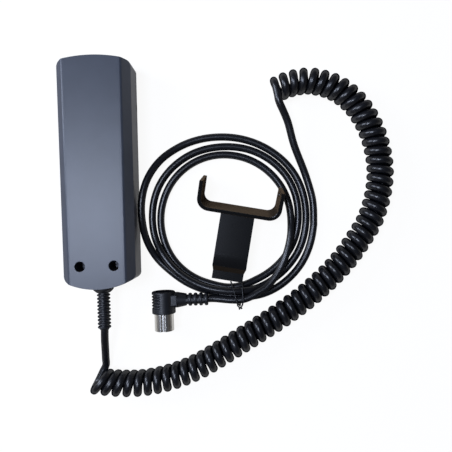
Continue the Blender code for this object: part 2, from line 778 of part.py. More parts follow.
def curly_run():
    """The curls: a left-handed helix about its axis route, with a straight bit at each end.

    The first few curls lean over towards the lead.
    """
    count = round(CURL_TURNS * CURL_POINTS) + 1
    axis = walk(smooth([(x, y, CURL_DIAMETER / 2) for x, y in CURL_AXIS]), count)
    forward = np.gradient(axis, axis=0)
    forward /= np.linalg.norm(forward, axis=1)[:, None]
    across = np.stack([-forward[:, 1], forward[:, 0], forward[:, 2]], axis=1)
    phase = math.pi + 2 * math.pi * CURL_TURNS * np.linspace(0.0, 1.0, count)
    up = np.array([0.0, 0.0, 1.0])
    run = axis + CURL_RADIUS * (np.cos(phase)[:, None] * up + np.sin(phase)[:, None] * across)
    slant = CURL_SLANT * np.maximum(1 - np.linspace(0.0, CURL_TURNS, count) / SLANTED_CURLS, 0.0)
    run += (slant * np.sin(phase))[:, None] * forward

    pitch = lengths_along(axis)[-1] / CURL_TURNS
    start_way = unit(forward[0] * (pitch - 2 * math.pi * CURL_SLANT) - across[0] * 2 * math.pi * CURL_RADIUS)
    end_way = unit(forward[-1] * pitch + across[-1] * 2 * math.pi * CURL_RADIUS)
    first = run[0] - start_way * CORD_DIAMETER
    last = run[-1] + end_way * CORD_DIAMETER
    return np.vstack([first, run, last]), start_way, end_way


def loops_run():
    """The tied loops, then the strand's straight way into the plug's relief."""
    route = smooth(LOOP_ROUTE)
    turned_by = np.arange(LOOP_ROUTE[0][0], LOOP_ROUTE[-1][0], 360.0 / LOOP_POINTS)
    radius = np.interp(turned_by, route[:, 0], route[:, 1])
    height = np.maximum(np.interp(turned_by, route[:, 0], route[:, 2]), CORD_RADIUS)
    bearing = np.radians(TIE_BEARING - turned_by)
    across, along = radius * np.cos(bearing), radius * np.sin(bearing)
    run = np.stack([LOOP_CENTRE[0] + across, LOOP_CENTRE[1] + along, height], axis=1)
    start_way = np.array([math.sin(bearing[0]), -math.cos(bearing[0]), 0.0])
    first = run[0] - start_way * CORD_DIAMETER
    plug_end = np.array(PLUG_PLACE) + np.array([RELIEF_END + CLEARANCE, 0.0, 0.0])
    plug_straight = plug_end + np.array([CORD_DIAMETER, 0.0, 0.0])
    last = walk(smooth([run[-2], run[-1], plug_straight, plug_end]), 7)
    return np.vstack([first, run[:-2], last]), start_way


def lead_run(curls, way):
    """From inside the case through the boot and down to the first curl."""
    inner_end = FOOT_Y + boot_inner_face() + BOOT_FLANGE_THICKNESS + LEAD_INSIDE
    boot_end = FOOT_Y - boot_length()
    joint = curls[0] - way * CLEARANCE
    straight = joint - way * CORD_DIAMETER
    outside = free_cord([(0.0, boot_end, BOOT_HEIGHT), *LEAD_ROUTE, tuple(straight)])
    return np.vstack([(0.0, inner_end, BOOT_HEIGHT), outside, joint]), inner_end


def tail_run(curls, curl_way, loops, loop_way):
    """From the last curl down to the table and round to the first loop."""
    start = curls[-1] + curl_way * CLEARANCE
    end = loops[0] - loop_way * CLEARANCE
    first = start + curl_way * CORD_DIAMETER
    last = end - loop_way * CORD_DIAMETER
    return np.vstack([start, free_cord([tuple(first), *TAIL_ROUTE, tuple(last)]), end])


def tie_run():
    """A wire wrapped round the bundle, spread on its inner side, with its two ends twisted together."""
    tie_bearing = math.radians(TIE_BEARING)
    out = np.array([math.cos(tie_bearing), math.sin(tie_bearing), 0.0])
    along = np.array([out[1], -out[0], 0.0])
    up = np.array([0.0, 0.0, 1.0])
    strands = [np.array([radius, height]) for angle, radius, height in LOOP_ROUTE if angle % 360 == 0]
    reach = CORD_RADIUS + 3 * CLEARANCE + TIE_WIRE / 2

    def place(angle, drift):
        """On a band drawn tight round the strands, where it faces `angle`, and `drift` along the loops."""
        way = np.array([math.cos(angle), math.sin(angle)])
        distance, height = max(strands, key=way.dot) + reach * way
        bearing = tie_bearing - drift / distance
        return np.array([LOOP_CENTRE[0] + distance * math.cos(bearing),
                         LOOP_CENTRE[1] + distance * math.sin(bearing), height])

    steps = 16 * TIE_TURNS
    wraps = []
    for step in range(steps + 1):
        angle = 2 * math.pi * TIE_TURNS * step / steps
        gone = step / steps - 0.5
        spread = math.copysign(TIE_SPREAD, gone) * (1 - math.cos(angle)) / 2
        wraps.append(place(angle, TIE_PITCH * TIE_TURNS * gone + spread))

    root = place(0.0, 0.0) + out * TIE_PITCH
    ends = {1: [], -1: []}
    for side, places in ends.items():
        for step in range(6):
            angle = math.pi / 4 * step
            ring = side * TIE_TWIST_RADIUS * (math.cos(angle) * along + math.sin(angle) * up)
            places.append(root + ring + out * TIE_TWIST_LENGTH * step / 5)
    return np.array(ends[-1][::-1] + wraps + ends[1])


def wire_runs(cord_end):
    """The cord's cores, fanned out from its end to the header."""
    header = header_face() - CLEARANCE
    height = BOARD_HIGH + CLEARANCE + HEADER_HEIGHT / 2
    angles = [math.pi / 2 + 2 * math.pi * index / WIRE_COUNT for index in range(WIRE_COUNT)]
    ring = sorted((WIRE_RING * math.cos(a), WIRE_RING * math.sin(a)) for a in angles)
    straight = 3 * WIRE_DIAMETER
    runs = []
    for index, (x, z) in enumerate(ring):
        end_x = (index - (WIRE_COUNT - 1) / 2) * WIRE_PITCH
        start_y = cord_end + CLEARANCE
        route = [(x, start_y, BOOT_HEIGHT + z), (x, start_y + straight, BOOT_HEIGHT + z),
                 (end_x, header - straight, height), (end_x, header, height)]
        runs.append(walk(smooth(route), 10))
    return runs


# Plug

def make_overmould(finish, group):
    """Right-angle plug body: a turned barrel, a square collar and a ringed relief to the side."""
    edge = PLUG_EDGE
    barrel = [(0.0, -PLUG_BACK), (PLUG_RADIUS - edge, -PLUG_BACK),
              (PLUG_RADIUS - edge * 0.3, edge * 0.3 - PLUG_BACK), (PLUG_RADIUS, edge - PLUG_BACK),
              (PLUG_RADIUS, PLUG_FRONT - edge / 2), (PLUG_RADIUS - edge / 2, PLUG_FRONT), (0.0, PLUG_FRONT)]
    body = add_solid("plug_overmould", moved(turned(barrel, 32), (0, 0, 0), TO_FOOT), finish, group)

    slabs = []
    reach = PLUG_RADIUS + 2 * edge
    for number in range(GRIP_COUNT):
        middle = (PLUG_BACK - PLUG_FRONT) / 2 + PLUG_EDGE + (number - (GRIP_COUNT - 1) / 2) * GRIP_PITCH
        slabs.append(box((-reach, middle - GRIP_WIDTH / 2, -reach),
                         (-PLUG_RADIUS * 0.15, middle + GRIP_WIDTH / 2, reach)))
    grips = add_tool("grips", merged(*slabs), group)
    core = moved(prism(circle(PLUG_RADIUS - GRIP_DEPTH, sides=32), -reach, reach), (0, 0, 0), TO_FOOT)
    shape_with(grips, add_tool("grip_core", core, group), "DIFFERENCE")
    shape_with(body, grips, "DIFFERENCE")

    collar = prism(rectangle(COLLAR_WIDTH, COLLAR_HEIGHT, edge), PLUG_RADIUS * 0.4, COLLAR_REACH)
    moved(collar, (0, 0, 0), TO_RIGHT @ Matrix.Rotation(math.pi / 2, 4, "Z"))
    shape_with(body, add_tool("collar", collar, group), "UNION")

    relief = [(0.0, 0.0), (NECK_ROOT / 2, 0.0), (NECK_ROOT / 2, COLLAR_REACH), (NECK_TIP / 2, NECK_REACH)]
    for number in range(RELIEF_RINGS):
        end = NECK_REACH + (number + 1) * RELIEF_PITCH
        groove = (end - RELIEF_PITCH + CLEARANCE, end - RELIEF_RING)
        ring = (end - RELIEF_RING + CLEARANCE, end - CLEARANCE)
        relief += [(RELIEF_CORE / 2, groove[0]), (RELIEF_CORE / 2, groove[1])]
        relief += [(RELIEF_DIAMETER / 2, ring[0]), (RELIEF_DIAMETER / 2, ring[1])]
    relief += [(RELIEF_CORE / 2, RELIEF_END), (0.0, RELIEF_END)]
    shape_with(body, add_tool("relief", moved(turned(relief, 20), (0, 0, 0), TO_RIGHT), group), "UNION")

    socket = prism(circle(SHELL_DIAMETER / 2 + CLEARANCE, sides=32), PLUG_FRONT - SHELL_ROOT - CLEARANCE,
                   PLUG_FRONT + edge)
    shape_with(body, add_tool("shell_socket", moved(socket, (0, 0, 0), TO_FOOT), group), "DIFFERENCE")
    return body


def ease(value, start, end):
    """0 before `start`, 1 after `end`, smooth between; `start` may lie after `end`."""
    share = min(max((value - start) / (end - start), 0.0), 1.0)
    return share * share * (3 - 2 * share)


def keyed_circle(radius):
    """A circle with the shell's keying dent on its upper side."""
    points = []
    for step in range(KEYED_SIDES):
        angle = 2 * math.pi * step / KEYED_SIDES
        off_top = math.degrees(abs(angle - math.pi / 2))
        dent = KEY_DEPTH * ease(off_top, KEY_ANGLE, KEY_ANGLE * 0.4)
        points.append(((radius - dent) * math.cos(angle), (radius - dent) * math.sin(angle)))
    return points


def make_plug_shell(finish, group):
    low = PLUG_FRONT - SHELL_ROOT
    high = PLUG_FRONT + SHELL_EXPOSED
    tube = prism(keyed_circle(SHELL_DIAMETER / 2), low, high)
    soften(tube, SHELL_WALL / 2, lambda edge: min(vert.co.z for vert in edge.verts) > high - CLEARANCE, 1)
    shell = add_solid("plug_shell", moved(tube, (0, 0, 0), TO_FOOT), finish, group)
    room = prism(keyed_circle(SHELL_DIAMETER / 2 - SHELL_WALL), low - SHELL_WALL, high + SHELL_WALL)
    shape_with(shell, add_tool("shell_room", moved(room, (0, 0, 0), TO_FOOT), group), "DIFFERENCE")
    return shell


def pin_places():
    """The pins stand on a half circle away from the keying dent."""
    places = []
    for index in range(PIN_COUNT):
        angle = math.pi * (1 + index / (PIN_COUNT - 1))
        places.append((PIN_CIRCLE / 2 * math.cos(angle), PIN_CIRCLE / 2 * math.sin(angle)))
    return places


def make_plug_inside(insert_finish, pin_finish, group):
    low = PLUG_FRONT - SHELL_ROOT
    disc = prism(keyed_circle(SHELL_DIAMETER / 2 - SHELL_WALL - CLEARANCE), low, low + INSERT_THICKNESS)
    insert = add_solid("plug_insert", moved(disc, (0, 0, 0), TO_FOOT), insert_finish, group)
    radius = PIN_DIAMETER / 2
    for number, (x, y) in enumerate(pin_places(), start=1):
        hole = prism(circle(radius + CLEARANCE, (x, y), 16), low + PIN_BACKING, low + 2 * INSERT_THICKNESS)
        tool = add_tool("pin_hole_%d" % number, moved(hole, (0, 0, 0), TO_FOOT), group)
        shape_with(insert, tool, "DIFFERENCE")
        root = low + PIN_BACKING + CLEARANCE
        tip = root + PIN_LENGTH
        profile = [(0.0, root), (radius, root), (radius, tip - radius), (radius * 0.6, tip - radius * 0.2),
                   (0.0, tip)]
        pin = moved(turned(profile, 16), (x, y, 0.0))
        add_solid("plug_pin_%d" % number, moved(pin, (0, 0, 0), TO_FOOT), pin_finish, group)


# Holder

def clip_outline():
    """Plan of the U-shaped clip: its inner line and its outer line, open to +Y."""
    half = CLIP_WIDTH / 2

    def line(offset):
        points = [(-half - offset, CLIP_REACH)]
        for side in (-1, 1):
            for step in range(7):
                angle = math.pi * (1.0 if side < 0 else 1.5) + math.pi / 2 * step / 6
                points.append((side * (half - CLIP_CORNER) + (CLIP_CORNER + offset) * math.cos(angle),
                               CLIP_CORNER + (CLIP_CORNER + offset) * math.sin(angle)))
        points.append((half + offset, CLIP_REACH))
        return points

    return line(0.0) + line(CLIP_WALL)[::-1]


def tongue_shape():
    """The tongue seen from the side, drawn across its width and narrowed at its end."""
    top = TONGUE_HEIGHT + TONGUE_THICKNESS
    end_top = TONGUE_END_HEIGHT + TONGUE_THICKNESS
    line = [(-TONGUE_ROOT, top), (-TONGUE_RAMP, top), (-TONGUE_RIDGE, top + RIDGE_RISE),
            (-TONGUE_RIDGE - TONGUE_STEP, end_top), (-TONGUE_END, end_top)]
    under = [(y + TONGUE_STEP * 0.35 * (y < -TONGUE_RAMP and y > -TONGUE_END), z - TONGUE_THICKNESS)
             for y, z in line]
    shape = prism(line + under[::-1], -TONGUE_WIDTH / 2, TONGUE_WIDTH / 2)
    side_on = Matrix.Rotation(math.pi / 2, 4, "Z") @ Matrix.Rotation(math.pi / 2, 4, "X")
    moved(shape, (0, 0, 0), side_on)
    for vert in shape.verts:
        if vert.co.y < -TONGUE_RIDGE - TONGUE_STEP / 2:
            vert.co.x *= TONGUE_END_WIDTH / TONGUE_WIDTH
    inner = -TONGUE_ROOT - CLEARANCE
    soften(shape, TONGUE_EDGE, lambda edge: max(vert.co.y for vert in edge.verts) < inner, 1)
    return shape


def make_holder(finish):
    """The clip flares, leans back over its tongue and stands on its base line; the tongue's end lies on
    the tied cord.
    """
    lean = Matrix.Rotation(math.radians(CLIP_CANT), 4, "X")
    lift = (0.0, 0.0, CLIP_WALL * math.sin(math.radians(CLIP_CANT)))
    place = add_empty("holder_place", (*HOLDER_PLACE, 0.0), HOLDER_TURN)
    clip = prism(clip_outline(), 0.0, CLIP_HEIGHT)
    for vert in clip.verts:
        vert.co.x *= 1 + 2 * CLIP_FLARE / CLIP_WIDTH * vert.co.z / CLIP_HEIGHT
    holder = add_solid("holder", moved(clip, lift, lean), finish, place)
    for side in (-1, 1):
        pip = bmesh.new()
        bmesh.ops.create_uvsphere(pip, u_segments=12, v_segments=8, radius=PIP_RADIUS)
        moved(pip, (side * (CLIP_WIDTH / 2 + CLIP_FLARE / 2 + PIP_RADIUS / 2), CLIP_REACH - 2 * PIP_RADIUS,
                    CLIP_HEIGHT / 2))
        shape_with(holder, add_tool("pip_%d" % side, moved(pip, lift, lean), place), "UNION")
    shape_with(holder, add_tool("tongue", tongue_shape(), place), "UNION")
    top = TONGUE_HEIGHT + TONGUE_THICKNESS
    dimple = prism(circle(DIMPLE_RADIUS, DIMPLE_PLACE, 20), top - DIMPLE_DEPTH, 2 * top)
    shape_with(holder, add_tool("dimple", dimple, place), "DIFFERENCE")
    return holder


# The whole control

def make_handset(finishes):
    group = add_empty("handset", (0.0, 0.0, 0.0))
    make_back_shell(finishes["case"], group)
    make_front_shell(finishes["case"], group)
    for name, x, y in button_places():
        make_button(name, x, y, finishes["button"])
    make_keypad_mat(finishes["silicone"], group)
    make_board(finishes["board"], group)
    make_header(finishes["header"], group)
    case_screw = (SCREW_HEAD, SCREW_HEAD_HEIGHT, SCREW_SHANK, SCREW_LENGTH)
    for side, x in screw_places():
        place = (x, SCREW_Y, SCREW_SEAT + CLEARANCE)
        make_screw("case_screw_" + side, place, case_screw, finishes["steel"], group)
    board_screw = (BOARD_SCREW_HEAD, BOARD_SCREW_HEAD * 0.35, BOARD_SCREW_SHANK, BOARD_SCREW_LENGTH)
    for end, y in board_screw_places():
        place = (0.0, y, BOARD_HIGH + CLEARANCE)
        make_screw("board_screw_" + end, place, board_screw, finishes["steel"], group)
    make_boot(finishes["rubber"], group)


def make_cord(finishes):
    curls, curl_start, curl_end = curly_run()
    loops, loop_start = loops_run()
    lead, cord_end = lead_run(curls, curl_start)
    tail = tail_run(curls, curl_end, loops, loop_start)
    tie = tie_run()
    add_tube("cord_lead", lead, CORD_DIAMETER, finishes["cord"], 2)
    add_tube("curly_cord", curls, CORD_DIAMETER, finishes["cord"], 1)
    add_tube("cord_tail", tail, CORD_DIAMETER, finishes["cord"], 2)
    add_tube("cord_loops", loops, CORD_DIAMETER, finishes["cord"], 1)
    add_tube("cord_tie", tie, TIE_WIRE, finishes["tie"], 1)
    for number, run in enumerate(wire_runs(cord_end), start=1):
        add_tube("inner_wire_%d" % number, run, WIRE_DIAMETER, finishes["wire"], 1)
    for name, run, size in (("curls", curls, CORD_DIAMETER), ("loops", loops, CORD_DIAMETER),
                            ("tie", tie, TIE_WIRE)):
        print("least gap in the %s: %.2f mm" % (name, 1000 * least_gap(run, size)))
    total = sum(lengths_along(np.array(run))[-1] for run in (lead, curls, tail, loops))
    print("cord length: %.3f m" % total)


def make_plug(finishes):
    group = add_empty("plug", PLUG_PLACE)
    make_overmould(finishes["rubber"], group)
    make_plug_shell(finishes["nickel"], group)
    make_plug_inside(finishes["insert"], finishes["nickel"], group)


def main():
    clear_scene()
    finishes = {
        "case": material("satin_case_plastic", (0.085, 0.100, 0.140), 0.42),
        "button": material("button_plastic", (0.055, 0.060, 0.070), 0.5),
        "silicone": material("keypad_silicone", (0.35, 0.36, 0.38), 0.7),
        "board": material("board_laminate", (0.03, 0.16, 0.06), 0.45),
        "header": material("header_nylon", (0.75, 0.73, 0.66), 0.5),
        "steel": material("screw_steel", (0.16, 0.16, 0.17), 0.4, 1.0),
        "rubber": material("moulded_rubber", (0.020, 0.021, 0.025), 0.55),
        "cord": material("cord_jacket", (0.016, 0.016, 0.018), 0.45),
        "wire": material("wire_insulation", (0.45, 0.10, 0.08), 0.5),
        "tie": material("tie_jacket", (0.012, 0.012, 0.013), 0.5),
        "nickel": material("plug_nickel", (0.62, 0.61, 0.58), 0.25, 1.0),
        "insert": material("insert_plastic", (0.03, 0.03, 0.032), 0.5),
        "holder": material("holder_plastic", (0.045, 0.050, 0.064), 0.4),
    }
    make_handset(finishes)
    make_cord(finishes)
    make_plug(finishes)
    make_holder(finishes["holder"])


main()
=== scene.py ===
"""Looks of a corded hand control: its case, keys, boot, cord, tie, plug and holder, on a plain stage.

Sizes are in metres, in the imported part's own frame: the origin is the middle of the handset's front face,
which lies on the table, +Y runs to the handset's top end and +Z is up.
"""

import json
import math

import bmesh
import bpy
import numpy as np
from bpy.props import FloatProperty, FloatVectorProperty, IntProperty, PointerProperty
from bpy.types import Operator, Panel, PropertyGroup
from mathutils import Matrix, Vector

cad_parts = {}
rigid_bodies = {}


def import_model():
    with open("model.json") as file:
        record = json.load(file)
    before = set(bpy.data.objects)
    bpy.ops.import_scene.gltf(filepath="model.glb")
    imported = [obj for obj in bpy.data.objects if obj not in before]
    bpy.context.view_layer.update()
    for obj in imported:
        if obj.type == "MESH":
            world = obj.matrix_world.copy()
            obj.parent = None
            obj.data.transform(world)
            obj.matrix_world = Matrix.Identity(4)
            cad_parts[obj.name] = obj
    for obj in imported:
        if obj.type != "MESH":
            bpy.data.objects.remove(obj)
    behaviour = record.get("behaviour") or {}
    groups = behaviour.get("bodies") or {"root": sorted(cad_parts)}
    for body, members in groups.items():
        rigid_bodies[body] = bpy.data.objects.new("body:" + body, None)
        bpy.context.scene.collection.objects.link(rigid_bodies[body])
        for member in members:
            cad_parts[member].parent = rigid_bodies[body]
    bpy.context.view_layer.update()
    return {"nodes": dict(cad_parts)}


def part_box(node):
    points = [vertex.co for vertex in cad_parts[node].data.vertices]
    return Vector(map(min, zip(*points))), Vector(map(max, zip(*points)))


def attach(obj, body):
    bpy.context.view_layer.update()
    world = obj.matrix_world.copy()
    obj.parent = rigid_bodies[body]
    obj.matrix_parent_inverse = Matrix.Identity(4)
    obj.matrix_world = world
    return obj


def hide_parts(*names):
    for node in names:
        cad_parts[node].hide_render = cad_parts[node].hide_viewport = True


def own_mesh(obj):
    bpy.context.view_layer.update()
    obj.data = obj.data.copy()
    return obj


bl_info = {
    "name": "Corded hand control",
    "version": (1, 0, 0),
    "blender": (4, 5, 0),
    "location": "3D View > Sidebar > Hand control",
    "description": "Dresses a packed hand control with its case, keys, cord, plug and holder",
    "category": "Add Mesh",
}

for leftover in list(bpy.data.objects):
    bpy.data.objects.remove(leftover)
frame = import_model()

# Fits and fixed places; what is less than a hair apart counts as level
MM = 0.001
CLEARANCE = 0.3 * MM
HAIR = CLEARANCE / 100
HANDSET = "handset"
TO_FOOT = Matrix.Rotation(math.pi / 2, 4, "X")
TO_RIGHT = Matrix.Rotation(math.pi / 2, 4, "Y")
STRAIGHT = Matrix.Identity(4)
KEY_NAMES = ["upper_left", "upper_right", "lower_left", "lower_right"]
UP = np.array([0.0, 0.0, 1.0])

# Routes of the cord, as points that it passes through
LEAD_ROUTE = [
    (-0.0006, -0.1120, 0.0114),
    (-0.0014, -0.1200, 0.0080),
    (-0.0022, -0.1275, 0.0047),
]
CURL_AXIS = [
    (-0.0073, -0.1414),
    (0.0081, -0.1432),
    (0.0217, -0.1435),
    (0.0354, -0.1418),
    (0.0487, -0.1384),
    (0.0615, -0.1336),
    (0.0738, -0.1272),
    (0.0976, -0.1134),
    (0.1211, -0.0992),
    (0.1434, -0.0832),
    (0.1633, -0.0644),
    (0.1796, -0.0424),
    (0.1856, -0.0301),
    (0.1894, -0.0169),
    (0.1909, -0.0033),
    (0.1897, 0.0104),
    (0.1862, 0.0237),
    (0.1804, 0.0360),
    (0.1721, 0.0468),
    (0.1609, 0.0549),
    (0.1479, 0.0591),
    (0.1388, 0.0594),
    (0.1298, 0.0576),
    (0.1207, 0.0542),
]
TAIL_ROUTE = [
    (0.1284, 0.0320, 0.0108),
    (0.1329, 0.0164, 0.0070),
    (0.1403, -0.0025, 0.0032),
    (0.1445, -0.0172, 0.0024),
    (0.1457, -0.0270, 0.0024),
]
LOOP_CENTRE = (0.0847, -0.0330)
TIE_BEARING = -82.9
PLUG_PLACE = (0.0398, -0.0874, 0.0082)
HOLDER_PLACE = (0.0936, -0.0241)
HOLDER_TURN = -11.0

# Route of the tied loops: degrees run clockwise from the tie, distance from the middle, and height. At
# each whole turn the strand passes the tie, where the four passes lie two on two; the first turn leans on
# the case.
LOOP_ROUTE = [
    (-75, 0.0610, 0.0024),
    (-50, 0.0609, 0.0024),
    (-25, 0.0592, 0.0026),
    (-10, 0.0568, 0.0037),
    (0, 0.0540, 0.0043),
    (10, 0.0527, 0.0037),
    (22, 0.0519, 0.0025),
    (37, 0.0522, 0.0024),
    (55, 0.0533, 0.0025),
    (70, 0.0557, 0.0028),
    (84, 0.0571, 0.0060),
    (97, 0.0577, 0.0096),
    (110, 0.0590, 0.0108),
    (125, 0.0606, 0.0094),
    (140, 0.0612, 0.0058),
    (156, 0.0601, 0.0030),
    (185, 0.0575, 0.0024),
    (215, 0.0567, 0.0024),
    (245, 0.0569, 0.0024),
    (275, 0.0557, 0.0024),
    (300, 0.0551, 0.0024),
    (325, 0.0536, 0.0024),
    (342, 0.0527, 0.0040),
    (351, 0.0515, 0.0077),
    (360, 0.0502, 0.0092),
    (366, 0.0498, 0.0092),
    (374, 0.0493, 0.0090),
    (395, 0.0493, 0.0078),
    (416, 0.0498, 0.0074),
    (430, 0.0505, 0.0060),
    (444, 0.0515, 0.0032),
    (462, 0.0519, 0.0024),
    (487, 0.0525, 0.0024),
    (515, 0.0517, 0.0024),
    (545, 0.0506, 0.0024),
    (575, 0.0511, 0.0024),
    (605, 0.0515, 0.0024),
    (635, 0.0503, 0.0024),
    (655, 0.0496, 0.0024),
    (675, 0.0484, 0.0024),
    (700, 0.0472, 0.0028),
    (712, 0.0474, 0.0039),
    (720, 0.0475, 0.0043),
    (728, 0.0474, 0.0041),
    (742, 0.0465, 0.0032),
    (757, 0.0466, 0.0025),
    (780, 0.0466, 0.0024),
    (802, 0.0461, 0.0024),
    (830, 0.0459, 0.0024),
    (860, 0.0459, 0.0024),
    (890, 0.0454, 0.0024),
    (920, 0.0446, 0.0024),
    (950, 0.0443, 0.0024),
    (980, 0.0447, 0.0026),
    (1000, 0.0449, 0.0042),
    (1014, 0.0458, 0.0068),
    (1028, 0.0475, 0.0082),
    (1042, 0.0504, 0.0085),
    (1056, 0.0536, 0.0091),
    (1067, 0.0559, 0.0100),
    (1080, 0.0563, 0.0096),
]


# Sizes and colours that a user would change

def linear(hex_colour):
    """Turn an sRGB hex colour into the linear values that shaders take."""
    channels = [int(hex_colour[index:index + 2], 16) / 255 for index in (1, 3, 5)]
    return tuple(c / 12.92 if c <= 0.04045 else ((c + 0.055) / 1.055) ** 2.4 for c in channels)


def size(name, description, millimetres):
    return FloatProperty(name=name, description=description, default=millimetres * MM, min=0.0, precision=5,
                         unit="LENGTH")


def colour(name, description, hex_colour):
    return FloatVectorProperty(name=name, description=description, default=linear(hex_colour), size=3,
                               min=0.0, max=1.0, subtype="COLOR")


class CaseSizes(PropertyGroup):
    length: size("Length", "End to end along the handset", 153.0)
    top_width: size("Top width", "Width at the top end", 49.1)
    foot_width: size("Foot width", "Width at the cord's end", 47.5)
    depth: size("Depth", "Front to back", 27.0)
    top_crown: size("Top crown", "Rise of the top end's curve", 3.3)
    foot_crown: size("Foot crown", "Rise of the foot end's curve", 6.4)
    corner: size("Corner", "Radius of the four corners in plan", 2.2)
    top_draft: size("Top draft", "How far the top end leans in towards the back", 1.0)
    chamfer_width: size("Chamfer width", "Long back chamfers, across", 5.1)
    chamfer_drop: size("Chamfer drop", "Long back chamfers, down", 6.4)
    chamfer_edge: size("Chamfer edge", "Radius between the back and its chamfers", 2.6)
    back_edge: size("Back edge", "Radius of the back's other edges", 0.7)
    front_edge: size("Front edge", "Radius of the front's edge", 1.4)
    wall: size("Wall", "Thickness of the moulded walls", 2.2)
    seam: size("Seam height", "Where the two halves meet", 5.0)
    lip_wall: size("Lip wall", "Thickness of the front half's locating lip", 1.2)
    lip_height: size("Lip height", "Rise of the lip past the seam", 2.2)
    screw_spacing: size("Screw spacing", "Between the two case screws", 22.0)
    screw_from_foot: size("Screws from foot", "From the foot end to the screws", 15.2)
    counterbore: size("Counterbore", "Diameter of the screw wells", 6.5)
    screw_seat: size("Screw seat", "Height of the screws' seats", 13.5)
    screw_hole: size("Screw hole", "Diameter of the holes below the seats", 3.6)
    notch_from_top: size("Notch from top", "From the top end to the side notches", 30.0)


class KeySizes(PropertyGroup):
    width: size("Width", "Width of a key", 13.5)
    length: size("Length", "Length of a key", 18.0)
    corner: size("Corner", "Corner radius of a key", 4.0)
    columns: size("Columns", "Between the two columns", 20.0)
    rows: size("Rows", "Between the two rows", 26.0)
    from_top: size("From top", "From the top end to the middle of the keys", 53.0)
    sunk: size("Sunk", "How far the keys lie below the front", 0.5)
    flange: size("Flange", "Width and thickness of a key's flange", 1.0)
    dish: size("Dish", "Depth of the finger dish", 0.4)
    arrow: size("Arrow", "Height of the moulded arrow", 4.4)
    mat: size("Mat", "Thickness of the mat behind the keys", 1.2)
    dome_base: size("Dome base", "Diameter of a dome where it joins the mat", 10.0)
    dome_tip: size("Dome tip", "Diameter of a dome's tip", 6.2)


class BootSizes(PropertyGroup):
    height: size("Height", "Height of the cord's exit", 13.0)
    flange: size("Flange", "Diameter of the flange", 13.5)
    flange_thickness: size("Flange thickness", "Thickness of the outer flange", 3.3)
    neck: size("Neck", "Diameter in the case wall", 9.6)
    sleeve: size("Sleeve", "Diameter over the ribs", 8.8)
    groove: size("Groove", "Diameter between the ribs", 6.8)
    pitch: size("Rib pitch", "From rib to rib", 2.4)
    ribs: IntProperty(name="Ribs", description="Number of ribs", default=10, min=1)


class CordSizes(PropertyGroup):
    diameter: size("Diameter", "Diameter of the cord", 5.1)
    curl_diameter: size("Curl diameter", "Outside diameter of the curls", 18.0)
    curl_strand: size("Curl strand", "Diameter of the thicker cord in the curls", 5.7)
    curl_turns: FloatProperty(name="Curls", description="Number of curls", default=57.5, min=1.0)
    curl_slant: size("Curl slant", "How far the first curl leans towards the lead", 3.3)
    slanted_curls: FloatProperty(name="Slanted curls", description="Curls until the slant has gone",
                                 default=4.5, min=1.0)
    tie_wire: size("Tie wire", "Diameter of the tie", 1.0)
    tie_pitch: size("Tie pitch", "From wrap to wrap of the tie on the outside", 1.6)
    tie_spread: size("Tie spread", "How far each wrap is pulled aside on the inside", 3.0)


class PlugSizes(PropertyGroup):
    body: size("Body", "Diameter of the moulded body", 16.0)
    back: size("Back", "From the cord's line to the body's back", 6.1)
    front: size("Front", "From the cord's line to the body's front", 8.9)
    edge: size("Edge", "Radius of the body's edges", 1.0)
    collar_reach: size("Collar reach", "How far the square collar reaches along the cord", 9.7)
    collar_width: size("Collar width", "Collar across", 7.8)
    collar_height: size("Collar height", "Collar along the plug", 11.4)
    neck_root: size("Neck root", "Diameter of the neck at the collar", 10.6)
    neck_tip: size("Neck tip", "Diameter of the neck at the rings", 8.4)
    neck_reach: size("Neck reach", "Where the rings begin", 15.8)
    ring_pitch: size("Ring pitch", "From ring to ring", 3.7)
    ring_width: size("Ring width", "Width of a ring", 2.4)
    ring: size("Ring", "Diameter of the rings", 8.9)
    core: size("Core", "Diameter between the rings", 6.6)
    shell: size("Shell", "Diameter of the metal shell", 13.2)
    shell_wall: size("Shell wall", "Thickness of the metal", 0.5)
    shell_exposed: size("Shell exposed", "How far the shell stands out", 11.8)
    shell_root: size("Shell root", "How far the shell goes into the body", 4.2)
    key_depth: size("Key depth", "Depth of the keying dent", 1.1)
    rings: IntProperty(name="Rings", description="Number of relief rings", default=4, min=1)
    grips: IntProperty(name="Grips", description="Number of finger grips", default=5, min=1)


class HolderSizes(PropertyGroup):
    width: size("Width", "Between the clip's arms", 49.9)
    reach: size("Reach", "Length of the arms", 17.6)
    flare: size("Flare", "How much wider the top rim is on each side", 1.1)
    corner: size("Corner", "Inner corner radius", 5.5)
    wall: size("Wall", "Thickness of the clip", 2.5)
    height: size("Height", "Width of the clip's band", 16.5)
    edge: size("Edge", "Radius of the moulded edges", 0.4)
    tongue_width: size("Tongue width", "Width of the tongue", 23.0)
    tongue_end_width: size("Tongue end width", "Width of the tongue's end", 21.2)
    tongue_thickness: size("Tongue thickness", "Thickness of the tongue", 2.4)
    tongue_height: size("Tongue height", "Height of the tongue's underside", 11.8)
    tongue_end_height: size("Tongue end height", "Height of the end plate's underside", 8.8)
    cant: FloatProperty(name="Cant", description="How far the clip leans over its tongue",
                        default=math.radians(20.0), subtype="ANGLE")


class Colours(PropertyGroup):
    case: colour("Case", "Blue-grey of the case", "#3c414c")
    key: colour("Keys", "Charcoal of the keys", "#2a2c31")
    boot: colour("Boot and plug", "Black of the soft mouldings", "#16181d")
    cord: colour("Cord", "Black of the cord", "#121317")
    holder: colour("Holder", "Black of the holder", "#0a0b0d")
    nickel: colour("Nickel", "Plating of the plug's shell and pins", "#cfccc6")
    screw: colour("Screws", "Plating of the screws", "#55565a")
    # Painted reflection: this warm sheen tint stands for a brown table mirrored in the mouldings' steep sides
    painted_reflection: colour("Painted reflection", "Warm haze on the mouldings at glancing angles", "#a88c6c")
    daylight: colour("Daylight", "Shade of the lamps", "#dde8ff")


# Mesh helpers

